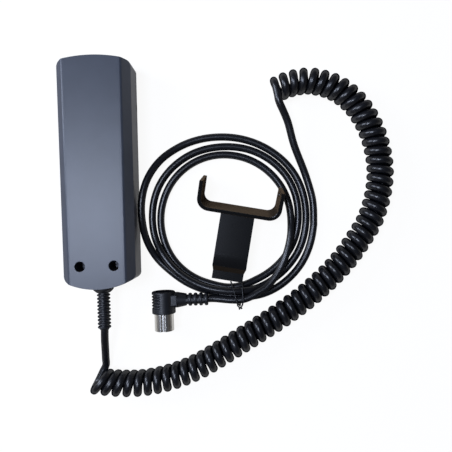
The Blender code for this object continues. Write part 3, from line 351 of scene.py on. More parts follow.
def flat_face(corners, radius=0.0, segments=8):
    """A flat face through a few corners, each rounded to `radius`."""
    shape = bmesh.new()
    shape.faces.new([shape.verts.new((x, y, 0.0)) for x, y in corners])
    if radius:
        bmesh.ops.bevel(shape, geom=list(shape.verts), offset=radius, offset_type="OFFSET",
                        segments=segments, profile=0.5, affect="VERTICES", material=-1)
    return shape


def rectangle(width, length, radius, segments=8):
    half_x = width / 2
    half_y = length / 2
    corners = [(half_x, half_y), (-half_x, half_y), (-half_x, -half_y), (half_x, -half_y)]
    return flat_face(corners, radius, segments)


def disc(radius, sides=48):
    shape = bmesh.new()
    bmesh.ops.create_circle(shape, cap_ends=True, segments=sides, radius=radius)
    return shape


def push_out(shape, extrusion, rise):
    """Move the corners that an extrusion made along Z."""
    corners = [part for part in extrusion["geom"] if isinstance(part, bmesh.types.BMVert)]
    bmesh.ops.translate(shape, verts=corners, vec=(0.0, 0.0, rise))


def raised(shape, low, high):
    """Raise a flat face into a solid between two heights."""
    bmesh.ops.translate(shape, verts=shape.verts, vec=(0.0, 0.0, low))
    push_out(shape, bmesh.ops.extrude_face_region(shape, geom=list(shape.faces)), high - low)
    bmesh.ops.recalc_face_normals(shape, faces=shape.faces)
    return shape


def block(low, high):
    shape = bmesh.new()
    middle = (Vector(low) + Vector(high)) / 2
    spread = Matrix.Diagonal((*(Vector(high) - Vector(low)), 1.0))
    bmesh.ops.create_cube(shape, size=1.0, matrix=Matrix.Translation(middle) @ spread)
    return shape


def turned(profile, sides, hollow=False):
    """Turn a profile of (radius, height) about Z; a hollow profile closes on itself."""
    shape = bmesh.new()
    ring = [shape.verts.new((radius, 0.0, height)) for radius, height in profile]
    pairs = list(zip(ring, ring[1:]))
    if hollow:
        pairs.append((ring[-1], ring[0]))
    edges = [shape.edges.new(pair) for pair in pairs]
    bmesh.ops.spin(shape, geom=ring + edges, cent=(0.0, 0.0, 0.0), axis=(0.0, 0.0, 1.0),
                   dvec=(0.0, 0.0, 0.0), angle=2 * math.pi, steps=sides, use_merge=True)
    bmesh.ops.remove_doubles(shape, verts=shape.verts, dist=1e-7)
    bmesh.ops.recalc_face_normals(shape, faces=shape.faces)
    return shape


def arc(centre, radius, start, end, steps):
    """Points on a round between two angles, for a profile."""
    angles = [start + (end - start) * step / steps for step in range(steps + 1)]
    return [(centre[0] + radius * math.cos(angle), centre[1] + radius * math.sin(angle)) for angle in angles]


def moved(shape, place=(0.0, 0.0, 0.0), turn=STRAIGHT):
    bmesh.ops.transform(shape, matrix=Matrix.Translation(place) @ turn, verts=shape.verts)
    return shape


def slice_off(shape, point, normal):
    """Cut away what lies beyond a plane and close the cut."""
    everything = list(shape.verts) + list(shape.edges) + list(shape.faces)
    cut = bmesh.ops.bisect_plane(shape, geom=everything, plane_co=point, plane_no=normal, clear_outer=True)
    rim = [part for part in cut["geom_cut"] if isinstance(part, bmesh.types.BMEdge)]
    bmesh.ops.holes_fill(shape, edges=rim, sides=0)


def above(height):
    """Picks the edges that lie wholly above a height."""
    return lambda edge: min(vert.co.z for vert in edge.verts) > height


def below(height):
    """Picks the edges that lie wholly below a height."""
    return lambda edge: max(vert.co.z for vert in edge.verts) < height


def soften(shape, radius, chosen=None, segments=4):
    """Round the sharp edges, or those among them that `chosen` picks."""
    sharp = [edge for edge in shape.edges
             if edge.calc_face_angle(0.0) > math.radians(25.0) and (chosen is None or chosen(edge))]
    bmesh.ops.bevel(shape, geom=sharp, offset=radius, offset_type="OFFSET", segments=segments,
                    profile=0.5, affect="EDGES", material=-1, clamp_overlap=True)


def loose_object(name, shape):
    mesh = bpy.data.meshes.new(name)
    shape.to_mesh(mesh)
    shape.free()
    item = bpy.data.objects.new(name, mesh)
    bpy.context.scene.collection.objects.link(item)
    return item


def carved(shape, tool, operation="DIFFERENCE"):
    """Cut one bmesh with another, or join them, and return what results."""
    target = loose_object("carved", shape)
    cutter = loose_object("cutter", tool)
    change = target.modifiers.new("carve", "BOOLEAN")
    change.operation = operation
    change.solver = "EXACT"
    change.object = cutter
    graph = bpy.context.evaluated_depsgraph_get()
    result = bmesh.new()
    result.from_mesh(target.evaluated_get(graph).to_mesh())
    for item in (target, cutter):
        mesh = item.data
        bpy.data.objects.remove(item)
        bpy.data.meshes.remove(mesh)
    return result


def add_piece(name, shape, finish, body, slot, *nodes):
    """Turn a bmesh into a piece that rides on a body and stands for CAD nodes."""
    bmesh.ops.remove_doubles(shape, verts=shape.verts, dist=1e-7)
    bmesh.ops.recalc_face_normals(shape, faces=shape.faces)
    piece = loose_object(name, shape)
    piece.data.shade_smooth()
    piece.data.set_sharp_from_angle(angle=math.radians(40.0))
    piece.data.materials.append(finish)
    shading = piece.modifiers.new("even_shading", "WEIGHTED_NORMAL")
    shading.keep_sharp = True
    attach(piece, body)
    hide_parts(*nodes)
    return piece


def add_tube(name, points, swell, diameter, finish, roundness, slot, *nodes):
    """A tube with closed ends along a run of points, as one open spline, thicker by `swell` at each point."""
    curve = bpy.data.curves.new(name, "CURVE")
    curve.dimensions = "3D"
    curve.bevel_depth = diameter / 2
    curve.bevel_resolution = roundness
    curve.use_fill_caps = True
    run = curve.splines.new("POLY")
    run.points.add(len(points) - 1)
    for knot, place, share in zip(run.points, points, swell):
        knot.co = (*place, 1.0)
        knot.radius = share
    curve.materials.append(finish)
    piece = bpy.data.objects.new(name, curve)
    bpy.context.scene.collection.objects.link(piece)
    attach(piece, HANDSET)
    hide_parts(*nodes)
    return piece


# Materials

def add_node(tree, kind, sockets=None, **settings):
    """Add a node, set its properties, and give each named socket a value or a link."""
    node = tree.nodes.new(kind)
    for name, value in settings.items():
        setattr(node, name, value)
    for name, value in (sockets or {}).items():
        if isinstance(value, bpy.types.NodeSocket):
            tree.links.new(value, node.inputs[name])
        else:
            node.inputs[name].default_value = value
    return node


def new_material(name):
    """An empty node material and its node tree."""
    made = bpy.data.materials.new(name)
    made.use_nodes = True
    made.node_tree.nodes.clear()
    return made, made.node_tree


def add_noise(tree, place, feature_mm, detail):
    """Noise with features of about this size, as the socket that gives it."""
    sockets = {"Vector": place, "Scale": 1 / (feature_mm * MM), "Detail": detail}
    return add_node(tree, "ShaderNodeTexNoise", sockets).outputs["Fac"]


def add_range(tree, value, low, high, start=0.0, end=1.0):
    """Turn a value between `start` and `end` into one between `low` and `high`."""
    sockets = {"Value": value, "From Min": start, "From Max": end, "To Min": low, "To Max": high}
    return add_node(tree, "ShaderNodeMapRange", sockets).outputs["Result"]


def add_ramp(tree, value, stops):
    """A colour ramp through `stops`, which gives a colour for each position from low to high."""
    node = add_node(tree, "ShaderNodeValToRGB", {"Fac": value})
    positions = list(stops)
    steps = node.color_ramp.elements
    steps[0].position = positions[0]
    steps[1].position = positions[-1]
    for position in positions[1:-1]:
        steps.new(position)
    for step, shade in zip(steps, stops.values()):
        step.color = (*shade, 1.0)
    return node.outputs["Color"]


def add_bump(tree, height, strength, depth_mm):
    sockets = {"Height": height, "Strength": strength, "Distance": depth_mm * MM}
    return add_node(tree, "ShaderNodeBump", sockets).outputs["Normal"]


def add_surface(tree, sockets):
    """The material's one shader, on its output."""
    shader = add_node(tree, "ShaderNodeBsdfPrincipled", sockets)
    add_node(tree, "ShaderNodeOutputMaterial", {"Surface": shader.outputs["BSDF"]})


def moulded(name, base, roughness, grain_mm, grain_depth_mm, spread=0.10, cloud_mm=18.0, haze=0.0,
            edge_gloss=0.0):
    """A moulded or extruded polymer: one body colour with soft clouding and a fine mould grain.

    The grain catches the light as a satin speckle and the clouding keeps broad faces from looking flat. The
    grain also shades itself at glancing angles, so the gloss falls to `edge_gloss` there and the rounds turn
    dark at their edges, but for a warm sheen, which is a painted reflection of a brown table on steep sides.
    """
    made, tree = new_material(name)
    place = add_node(tree, "ShaderNodeTexCoord").outputs["Object"]
    cloud = add_noise(tree, place, cloud_mm, 3.0)
    grain = add_noise(tree, place, grain_mm, 2.0)
    darker = [channel * (1 - spread) for channel in base]
    paler = [min(channel * (1 + spread), 1.0) for channel in base]
    uneven = 0.08
    facing = add_node(tree, "ShaderNodeLayerWeight", {"Blend": 0.5}).outputs["Facing"]
    add_surface(tree, {
        "Base Color": add_ramp(tree, cloud, {0.35: darker, 0.65: paler}),
        "Roughness": add_range(tree, grain, roughness * (1 - uneven), roughness * (1 + uneven)),
        "Specular IOR Level": add_range(tree, facing, 0.5, edge_gloss, start=0.15, end=0.65),
        "Normal": add_bump(tree, grain, 0.6, grain_depth_mm),
        # The warm sheen is a painted reflection of a brown table, seen on the steep sides
        "Sheen Weight": haze,
        "Sheen Roughness": 0.4,
        "Sheen Tint": (*bpy.context.scene.control_colours.painted_reflection, 1.0),
    })
    return made


def plated(name, base, roughness, streak_mm, streak_length_mm):
    """Plated metal: drawn along its length, so fine streaks run that way and break the reflections up."""
    made, tree = new_material(name)
    place = add_node(tree, "ShaderNodeTexCoord").outputs["Object"]
    stretch = (1.0, streak_mm / streak_length_mm, 1.0)
    drawn = add_node(tree, "ShaderNodeMapping", {"Vector": place, "Scale": stretch}).outputs["Vector"]
    streak = add_noise(tree, drawn, streak_mm, 3.0)
    # The darker streaks in the colour are drawing lines; on the nickel shell they are also painted reflection
    # stripes
    darker = [channel * 0.5 for channel in base]
    add_surface(tree, {
        "Base Color": add_ramp(tree, streak, {0.30: darker, 0.62: base}),
        "Roughness": add_range(tree, streak, roughness + 0.08, roughness - 0.06),
        "Metallic": 1.0,
        "Normal": add_bump(tree, streak, 0.5, 0.015),
    })
    return made


# Case

def half_width(case, y):
    """Half of the case's width, which tapers slightly to the foot."""
    share = y / case.length + 0.5
    return (case.foot_width + (case.top_width - case.foot_width) * share) / 2


def crown_drop(x, half, crown):
    """How far a crowned end has fallen back at x from its middle."""
    radius = (half * half + crown * crown) / (2 * crown)
    return radius - math.sqrt(radius * radius - x * x)


def case_plan(case, inset):
    """Plan of the case drawn in by `inset`: round corners, and both ends crowned."""
    end = case.length / 2 - inset
    half_top = case.top_width / 2 - inset
    half_foot = case.foot_width / 2 - inset
    corners = [(half_top, end), (-half_top, end), (-half_foot, -end), (half_foot, -end)]
    shape = flat_face(corners, max(case.corner - inset, CLEARANCE))
    ends = [edge for edge in shape.edges if min(abs(vert.co.y) for vert in edge.verts) > end - HAIR]
    bmesh.ops.subdivide_edges(shape, edges=ends, cuts=23)
    for vert in shape.verts:
        if vert.co.y > 0:
            vert.co.y -= crown_drop(vert.co.x, half_top, case.top_crown)
        else:
            vert.co.y += crown_drop(vert.co.x, half_foot, case.foot_crown)
    return shape


def chamfered_block(case, inset, low):
    """The case's block with both long chamfers, which round over into the back, all drawn in by `inset`."""
    shape = raised(case_plan(case, inset), low, case.depth - inset)
    end = case.length / 2
    for vert in shape.verts:
        if vert.co.y > 0 and vert.co.z > low:
            vert.co.y -= case.top_draft
    facets = 6
    for side in (1, -1):
        top = Vector((side * (half_width(case, end) - case.chamfer_width), end, case.depth))
        foot = Vector((side * (half_width(case, -end) - case.chamfer_width), -end, case.depth))
        wall = top + Vector((side * case.chamfer_width, 0.0, -case.chamfer_drop))
        normal = (foot - top).cross(wall - top).normalized()
        if normal.z < 0:
            normal.negate()
        back = Vector((0.0, 0.0, 1.0))
        middle = top - (back + normal) * case.chamfer_edge / (1 + back.dot(normal))
        for facet in range(1, facets + 1):
            way = back.slerp(normal, facet / facets)
            slice_off(shape, middle + way * (case.chamfer_edge - inset), way)
    return shape


def screw_places(case):
    y = case.screw_from_foot - case.length / 2
    return [(side * case.screw_spacing / 2, y) for side in (-1, 1)]


def pillar_low(case):
    return case.screw_seat - case.wall


def back_shape(case, boot):
    """Deep back half: chamfered, hollow, with two screw wells and an arch for the boot."""
    low = case.seam + CLEARANCE
    shape = chamfered_block(case, 0.0, low)
    soften(shape, case.back_edge, above(low + CLEARANCE))
    shape = carved(shape, chamfered_block(case, case.wall, low - case.wall))

    well = case.counterbore / 2
    hole = case.screw_hole / 2
    pillar_wall = 0.7 * case.wall
    start = pillar_low(case) - case.wall
    seat = case.screw_seat
    back = case.depth
    rim = 0.35 * MM
    drill = [(0.0, start), (hole, start), (hole, seat), (well, seat), (well, back - rim),
             (well + 0.3 * rim, back - 0.3 * rim), (well + rim, back), (well + rim, back + rim),
             (0.0, back + rim)]
    for x, y in screw_places(case):
        pillar = raised(disc(well + pillar_wall), pillar_low(case), back - case.wall / 2)
        shape = carved(shape, moved(pillar, (x, y, 0.0)), "UNION")
        shape = carved(shape, moved(turned(drill, 48), (x, y, 0.0)))

    arch = boot.neck / 2 + CLEARANCE
    slot = rectangle(2 * arch, 2 * arch + boot.height, arch, segments=12)
    moved(slot, (0.0, boot.height / 2, 0.0))
    way = moved(raised(slot, -case.wall, 2 * case.wall), (0.0, case.wall - case.length / 2, 0.0), TO_FOOT)
    return carved(shape, way)


def front_shape(case, key, boot):
    """Shallow front half: a tray with a locating lip, posts, key windows and two side notches."""
    shape = raised(case_plan(case, 0.0), 0.0, case.seam)
    soften(shape, case.front_edge, below(CLEARANCE))
    lip_inset = case.wall + CLEARANCE
    lip = raised(case_plan(case, lip_inset), case.wall / 2, case.seam + case.lip_height)
    shape = carved(shape, lip, "UNION")
    room = raised(case_plan(case, lip_inset + case.lip_wall), case.wall, case.depth)
    shape = carved(shape, room)
    hole = case.screw_hole / 2
    post_top = pillar_low(case) - CLEARANCE
    post = [(hole, case.wall), (2 * hole, case.wall / 2), (2 * hole, post_top), (hole, post_top)]
    for x, y in screw_places(case):
        shape = carved(shape, moved(turned(post, 32, hollow=True), (x, y, 0.0)), "UNION")

    for x, y in key_places(case, key):
        window = rectangle(key.width + 2 * CLEARANCE, key.length + 2 * CLEARANCE, key.corner + CLEARANCE)
        shape = carved(shape, moved(raised(window, -case.wall, 2 * case.wall), (x, y, 0.0)))
    window_edge = 0.3 * MM
    soften(shape, window_edge, below(HAIR), 2)

    notch_y = case.length / 2 - case.notch_from_top
    notch = 3.0 * MM
    half_height = 0.4 * notch
    for side in (1, -1):
        cutter = raised(disc(notch), case.seam / 2 - half_height, case.seam / 2 + half_height)
        middle = side * (half_width(case, notch_y) + notch * 2 / 3)
        shape = carved(shape, moved(cutter, (middle, notch_y, 0.0)))

    foot = -case.length / 2
    flange_room = raised(disc(boot.flange / 2 + CLEARANCE), -4 * case.wall, CLEARANCE / 2 - lip_inset)
    shape = carved(shape, moved(flange_room, (0.0, foot, boot.height), TO_FOOT))
    tab_top = boot.height - boot.neck / 2 - CLEARANCE
    tab = block((-boot.neck / 2, foot + CLEARANCE, case.seam - case.wall),
                (boot.neck / 2, foot + case.wall, tab_top))
    return carved(shape, tab, "UNION")


# Keys

def key_places(case, key):
    """x and y of the keys, in the order of their names; left and right are as seen from the front."""
    middle = case.length / 2 - key.from_top
    return [(column * key.columns / 2, middle + row * key.rows / 2) for row in (1, -1) for column in (1, -1)]


def key_shape(case, key, points_up):
    """A cap on a flange, with a finger dish and a raised arrow on its front."""
    low = case.wall + CLEARANCE
    rim = 2 * key.flange
    flange = rectangle(key.width + rim, key.length + rim, key.corner + key.flange)
    shape = raised(flange, low, low + key.flange)
    front = min(shape.faces, key=lambda face: face.calc_center_median().z)
    bmesh.ops.inset_region(shape, faces=[front], thickness=key.flange, use_even_offset=True)
    cap = bmesh.ops.extrude_face_region(shape, geom=[front])
    bmesh.ops.delete(shape, geom=[front], context="FACES")
    push_out(shape, cap, key.sunk - low)
    cap_edge = 0.6 * MM
    soften(shape, cap_edge, below(key.sunk + HAIR))

    front = min(shape.faces, key=lambda face: face.calc_center_median().z)
    rings = 4
    ring_width = 0.7 * MM
    for ring in range(rings):
        fall = key.dish * (2 * (rings - ring) - 1) / rings ** 2
        bmesh.ops.inset_region(shape, faces=[front], thickness=ring_width, depth=-fall, use_even_offset=True)

    side = 1 if points_up else -1
    half = key.arrow * 0.6
    tip = side * key.arrow / 2
    arrow_corner = 0.4 * MM
    arrow_edge = 0.12 * MM
    arrow_rise = 0.25 * MM
    arrow_root = 0.5 * MM
    pad = key.sunk + key.dish
    arrow = flat_face([(0.0, tip), (-side * half, -tip), (side * half, -tip)], arrow_corner, segments=4)
    arrow = raised(arrow, pad - arrow_rise, pad + arrow_root)
    soften(arrow, arrow_edge, below(pad), 2)
    return carved(shape, arrow, "UNION")


# Strain relief boot

def boot_inner_face(case, boot):
    """How far inside the case the boot's inner flange begins, clear of the crowned end wall."""
    half = case.foot_width / 2 - case.wall
    return case.wall + 2 * CLEARANCE + crown_drop(boot.flange / 2, half, case.foot_crown)


def boot_length(boot):
    return CLEARANCE + boot.flange_thickness + (boot.ribs + 0.5) * boot.pitch


def rounded_rib(low, high, start, end):
    """Profile of one rib between two radii, with a full round crest."""
    steps = 8
    points = []
    for step in range(steps + 1):
        angle = math.pi * step / steps
        points.append((low + (high - low) * math.sqrt(max(math.sin(angle), 0.0)),
                       (start + end) / 2 - (end - start) / 2 * math.cos(angle)))
    return points


def boot_shape(case, boot, cord):
    """Flanged boot with a ribbed sleeve; its profile runs outwards along the cord."""
    flange = boot.flange / 2
    neck = boot.neck / 2
    bore = cord.diameter / 2 + CLEARANCE
    inner = -boot_inner_face(case, boot)
    inner_flange = boot.flange_thickness * 0.8
    end = inner - inner_flange
    outer = CLEARANCE + boot.flange_thickness
    edge = 0.25 * MM
    rim = outer * 0.40
    cone = outer * 0.52
    profile = [(bore, end), (flange, end), (flange, inner), (neck, inner), (neck, CLEARANCE),
               (flange - edge, CLEARANCE), (flange, CLEARANCE + edge), (flange, rim), (flange - edge, cone),
               (neck, outer - edge), (neck - edge, outer)]
    # Where a groove begins, and a rib begins and ends, as shares of the pitch
    groove_from, rib_from, rib_to = -0.42, -0.05, 0.5
    groove = boot.groove / 2
    for number in range(boot.ribs):
        middle = outer + (number + 0.5) * boot.pitch
        profile.append((groove, middle + boot.pitch * groove_from))
        profile += rounded_rib(groove, boot.sleeve / 2, middle + boot.pitch * rib_from,
                               middle + boot.pitch * rib_to)
    profile.append((bore, boot_length(boot)))
    return moved(turned(profile, 48, hollow=True), (0.0, -case.length / 2, boot.height), TO_FOOT)


# Runs of the cord

def smooth(points, per_span=24):
    """A smooth curve through route points, as a dense run of places."""
    route = np.array([tuple(point) for point in points], dtype=float)
    route = np.vstack([2 * route[0] - route[1], route, 2 * route[-1] - route[-2]])
    run = []
    for index in range(1, len(route) - 2):
        before, start, end, after = route[index - 1:index + 3]
        for step in range(per_span):
            t = step / per_span
            run.append(0.5 * (2 * start + (end - before) * t
                              + (2 * before - 5 * start + 4 * end - after) * t ** 2
                              + (3 * start - before - 3 * end + after) * t ** 3))
    run.append(route[-2])
    return np.array(run)


def lengths_along(run):
    return np.concatenate([[0.0], np.cumsum(np.linalg.norm(np.diff(run, axis=0), axis=1))])


def walk(run, count):
    """`count` evenly spaced places along a run."""
    gone = lengths_along(run)
    wanted = np.linspace(0.0, gone[-1], count)
    return np.stack([np.interp(wanted, gone, run[:, axis]) for axis in range(run.shape[1])], axis=1)


def free_run(points, cord):
    """A free run of cord through route points, kept on or above the table."""
    run = smooth(points)
    run[:, 2] = np.maximum(run[:, 2], cord.diameter / 2)
    return walk(run, max(3, round(lengths_along(run)[-1] / (cord.diameter / 3))))


def unit(vector):
    return vector / np.linalg.norm(vector)


def curly_run(cord):
    """The curls: a left-handed helix about its axis route, with its swell and the way it points at each end.

    The first few curls lean over towards the lead.
    """
    points_per_curl = 28
    radius = (cord.curl_diameter - cord.curl_strand) / 2
    count = round(cord.curl_turns * points_per_curl) + 1
    axis = walk(smooth([(x, y, cord.curl_diameter / 2) for x, y in CURL_AXIS]), count)
    forward = np.gradient(axis, axis=0)
    forward /= np.linalg.norm(forward, axis=1)[:, None]
    across = np.stack([-forward[:, 1], forward[:, 0], forward[:, 2]], axis=1)
    turns = np.linspace(0.0, cord.curl_turns, count)
    phase = math.pi + 2 * math.pi * turns
    run = axis + radius * (np.cos(phase)[:, None] * UP + np.sin(phase)[:, None] * across)
    slant = cord.curl_slant * np.maximum(1 - turns / cord.slanted_curls, 0.0)
    run += (slant * np.sin(phase))[:, None] * forward
    pitch = lengths_along(axis)[-1] / cord.curl_turns
    start_way = unit(forward[0] * (pitch - 2 * math.pi * cord.curl_slant) - across[0] * 2 * math.pi * radius)
    end_way = unit(forward[-1] * pitch + across[-1] * 2 * math.pi * radius)
    from_end = np.minimum(np.arange(count), np.arange(count)[::-1]) / points_per_curl
    swell = 1 + (cord.curl_strand / cord.diameter - 1) * np.minimum(from_end, 1.0)
    return run, swell, start_way, end_way


def relief_end(plug):
    return plug.neck_reach + plug.rings * plug.ring_pitch


def loops_run(cord, plug):
    """The tied loops, then the strand's straight way into the plug's relief."""
    degrees_per_point = 2.5
    route = smooth(LOOP_ROUTE)
    turned_by = np.arange(LOOP_ROUTE[0][0], LOOP_ROUTE[-1][0], degrees_per_point)
    radius = np.interp(turned_by, route[:, 0], route[:, 1])
    height = np.maximum(np.interp(turned_by, route[:, 0], route[:, 2]), cord.diameter / 2)
    bearing = np.radians(TIE_BEARING - turned_by)
    across, along = radius * np.cos(bearing), radius * np.sin(bearing)
    run = np.stack([LOOP_CENTRE[0] + across, LOOP_CENTRE[1] + along, height], axis=1)
    end = np.array(PLUG_PLACE) + np.array([relief_end(plug) - cord.diameter / 4, 0.0, 0.0])
    straight = end + np.array([cord.diameter, 0.0, 0.0])
    eased = 8
    last = smooth([run[-eased], run[-1], straight, end])
    return np.vstack([run[:-eased], walk(last, 4 * eased)])


def cord_run(case, boot, cord, plug):
    """The whole cord from inside the case to the plug, as one run, with its swell."""
    curls, curl_swell, curl_start, curl_end = curly_run(cord)
    loops = loops_run(cord, plug)
    foot = -case.length / 2
    past_boot = 6.0 * MM
    inner_end = foot + boot_inner_face(case, boot) + boot.flange_thickness + past_boot
    boot_end = foot - boot_length(boot)
    inside = walk(np.array([(0.0, inner_end, boot.height), (0.0, boot_end + cord.diameter, boot.height)]), 12)
    before_curls = [curls[0] - count * curl_start * cord.diameter for count in (2, 1)]
    after_curls = [curls[-1] + count * curl_end * cord.diameter for count in (1, 2)]
    lead = free_run([(0.0, boot_end, boot.height), *LEAD_ROUTE, *before_curls], cord)
    tail = free_run([*after_curls, *TAIL_ROUTE, loops[0] - (loops[1] - loops[0])], cord)
    swell = np.concatenate([np.ones(len(inside) + len(lead)), curl_swell, np.ones(len(tail) + len(loops))])
    return np.vstack([inside, lead, curls, tail, loops]), swell


def tie_run(cord):
    """A wire wrapped twice round the bundle, spread on its inner side, with its two ends twisted together."""
    tie_bearing = math.radians(TIE_BEARING)
    out = np.array([math.cos(tie_bearing), math.sin(tie_bearing), 0.0])
    along = np.array([out[1], -out[0], 0.0])
    strands = [np.array([radius, height]) for angle, radius, height in LOOP_ROUTE if angle % 360 == 0]
    reach = cord.diameter / 2 + 2 * CLEARANCE + cord.tie_wire / 2

    def place(angle, drift):
        """On a band drawn tight round the strands, where it faces `angle`, and `drift` along the loops."""
        way = np.array([math.cos(angle), math.sin(angle)])
        distance, height = max(strands, key=way.dot) + reach * way
        bearing = tie_bearing - drift / distance
        return np.array([LOOP_CENTRE[0] + distance * math.cos(bearing),
                         LOOP_CENTRE[1] + distance * math.sin(bearing), height])

    turns = 2
    steps = 32 * turns
    wraps = []
    for step in range(steps + 1):
        angle = 2 * math.pi * turns * step / steps
        gone = step / steps - 0.5
        spread = math.copysign(cord.tie_spread, gone) * (1 - math.cos(angle)) / 2
        wraps.append(place(angle, cord.tie_pitch * turns * gone + spread))

    twist_radius = 0.85 * MM
    twist_length = 1.4 * MM
    twist_angle = math.pi * 5 / 4
    root = place(0.0, 0.0) + out * cord.tie_wire
    ends = {1: [], -1: []}
    for side, places in ends.items():
        for share in np.linspace(0.0, 1.0, 13):
            angle = twist_angle * share
            ring = side * twist_radius * (math.cos(angle) * along + math.sin(angle) * UP)
            places.append(root + ring + out * twist_length * share)
    return smooth(ends[-1][::-1] + wraps[::2] + ends[1], per_span=4)


# Plug

def barrel_shape(plug):
    """The plug's round body, with half-round finger grips on the side away from the cord."""
    radius = plug.body / 2
    edge = plug.edge
    quarter = math.pi / 2
    profile = [(0.0, -plug.back), *arc((radius - edge, edge - plug.back), edge, -quarter, 0.0, 6),
               *arc((radius - edge / 2, plug.front - edge / 2), edge / 2, 0.0, quarter, 4), (0.0, plug.front)]
    shape = turned(profile, 72)

    grip_pitch = 2.0 * MM
    grip = 0.75 * MM
    grips_end = -radius * 0.15
    for number in range(plug.grips):
        middle = (plug.front - plug.back) / 2 - edge + (number - (plug.grips - 1) / 2) * grip_pitch
        section = arc((radius, middle), grip, 0.0, 2 * math.pi, 12)[:-1]
        ring = turned(section, 72, hollow=True)
        slice_off(ring, (grips_end, 0.0, 0.0), (1.0, 0.0, 0.0))
        shape = carved(shape, ring)
    return moved(shape, turn=TO_FOOT)


def relief_shape(plug):
    """Tapered neck and ringed relief, with a spine along its upper and lower side."""
    root = plug.neck_root / 2
    tip = plug.neck_tip / 2
    core = plug.core / 2
    profile = [(0.0, 0.0), (root, 0.0), (root, plug.collar_reach), (tip, plug.neck_reach - CLEARANCE),
               (tip - CLEARANCE, plug.neck_reach)]
    for number in range(plug.rings):
        end = plug.neck_reach + (number + 1) * plug.ring_pitch
        profile.append((core, end - plug.ring_pitch + CLEARANCE))
        profile += rounded_rib(core, plug.ring / 2, end - plug.ring_width, end)
    profile.append((0.0, relief_end(plug)))
    shape = turned(profile, 56)

    half = 1.2 * MM
    spine_edge = 0.5 * MM
    reach = plug.ring / 2 * 0.93
    spine_end = relief_end(plug) - plug.ring_width / 2
    spine = block((-reach, -half, plug.neck_reach - MM), (reach, half, spine_end))
    soften(spine, spine_edge, segments=3)
    return moved(carved(shape, spine, "UNION"), turn=TO_RIGHT)


def plug_body_shape(plug):
    """Barrel, square collar and relief in one piece, with a round socket for the metal shell."""
    collar_edge = 0.5 * MM
    collar = rectangle(plug.collar_width, plug.collar_height, plug.edge)
    collar_root = plug.body / 2 * 0.4
    collar = raised(collar, collar_root, plug.collar_reach)
    soften(collar, collar_edge, above(plug.collar_reach - CLEARANCE), 3)
    moved(collar, turn=TO_RIGHT @ Matrix.Rotation(math.pi / 2, 4, "Z"))
    socket = disc(plug.shell / 2 + CLEARANCE, 64)
    socket = raised(socket, plug.front - plug.shell_root - CLEARANCE, plug.front + plug.edge)
    shape = carved(barrel_shape(plug), collar, "UNION")
    shape = carved(shape, relief_shape(plug), "UNION")
    shape = carved(shape, moved(socket, turn=TO_FOOT))
    return moved(shape, PLUG_PLACE)


def ease(value, start, end):
    """0 before `start`, 1 after `end`, smooth between; `start` may lie after `end`."""
    share = min(max((value - start) / (end - start), 0.0), 1.0)
    return share * share * (3 - 2 * share)


def plug_shell_shape(plug):
    """A drawn tube with a keying dent along its upper side and a rolled rim."""
    shape = bmesh.new()
    radius = plug.shell / 2
    # The dent's sides begin and end at these angles from the top
    dent_side, dent_floor = 14.0, 5.6
    bmesh.ops.create_circle(shape, cap_ends=False, segments=120, radius=radius)
    for vert in shape.verts:
        off_top = abs(math.degrees(math.atan2(vert.co.x, vert.co.y)))
        vert.co *= 1 - plug.key_depth / radius * ease(off_top, dent_side, dent_floor)
    low = plug.front - plug.shell_root
    length = plug.shell_root + plug.shell_exposed
    bmesh.ops.translate(shape, verts=shape.verts, vec=(0.0, 0.0, low))
    push_out(shape, bmesh.ops.extrude_edge_only(shape, edges=list(shape.edges)), length)
    bmesh.ops.recalc_face_normals(shape, faces=shape.faces)
    bmesh.ops.solidify(shape, geom=list(shape.faces), thickness=plug.shell_wall)
    bmesh.ops.recalc_face_normals(shape, faces=shape.faces)
    rim = plug.shell_wall * 0.4
    soften(shape, rim, above(low + length - CLEARANCE), 3)
    return moved(shape, PLUG_PLACE, TO_FOOT)


# Holder

def clip_shape(holder):
    """A flared U-shaped band that leans over its tongue."""
    shape = bmesh.new()
    half = holder.width / 2
    corners = [(-half, holder.reach), (-half, 0.0), (half, 0.0), (half, holder.reach)]
    line = [shape.verts.new((x, y, 0.0)) for x, y in corners]
    for pair in zip(line, line[1:]):
        shape.edges.new(pair)
    bmesh.ops.bevel(shape, geom=line[1:3], offset=holder.corner, offset_type="OFFSET", segments=12,
                    profile=0.5, affect="VERTICES", material=-1)
    push_out(shape, bmesh.ops.extrude_edge_only(shape, edges=list(shape.edges)), holder.height)
    bmesh.ops.recalc_face_normals(shape, faces=shape.faces)
    facing = min(shape.faces, key=lambda face: face.calc_center_median().y)
    if facing.normal.y < 0:
        bmesh.ops.reverse_faces(shape, faces=shape.faces)
    bmesh.ops.solidify(shape, geom=list(shape.faces), thickness=holder.wall)
    bmesh.ops.recalc_face_normals(shape, faces=shape.faces)
    soften(shape, holder.edge, segments=3)
    for vert in shape.verts:
        vert.co.x *= 1 + 2 * holder.flare / holder.width * vert.co.z / holder.height
    pip_radius = 1.6 * MM
    pip_x = half + holder.flare / 2 + pip_radius / 2
    for side in (-1, 1):
        pip = bmesh.new()
        bmesh.ops.create_uvsphere(pip, u_segments=24, v_segments=16, radius=pip_radius)
        moved(pip, (side * pip_x, holder.reach - 2 * pip_radius, holder.height / 2))
        shape = carved(shape, pip, "UNION")
    set_back = 0.5 * MM
    seat = (0.0, set_back, holder.wall * math.sin(holder.cant))
    return moved(shape, seat, Matrix.Rotation(holder.cant, 4, "X"))


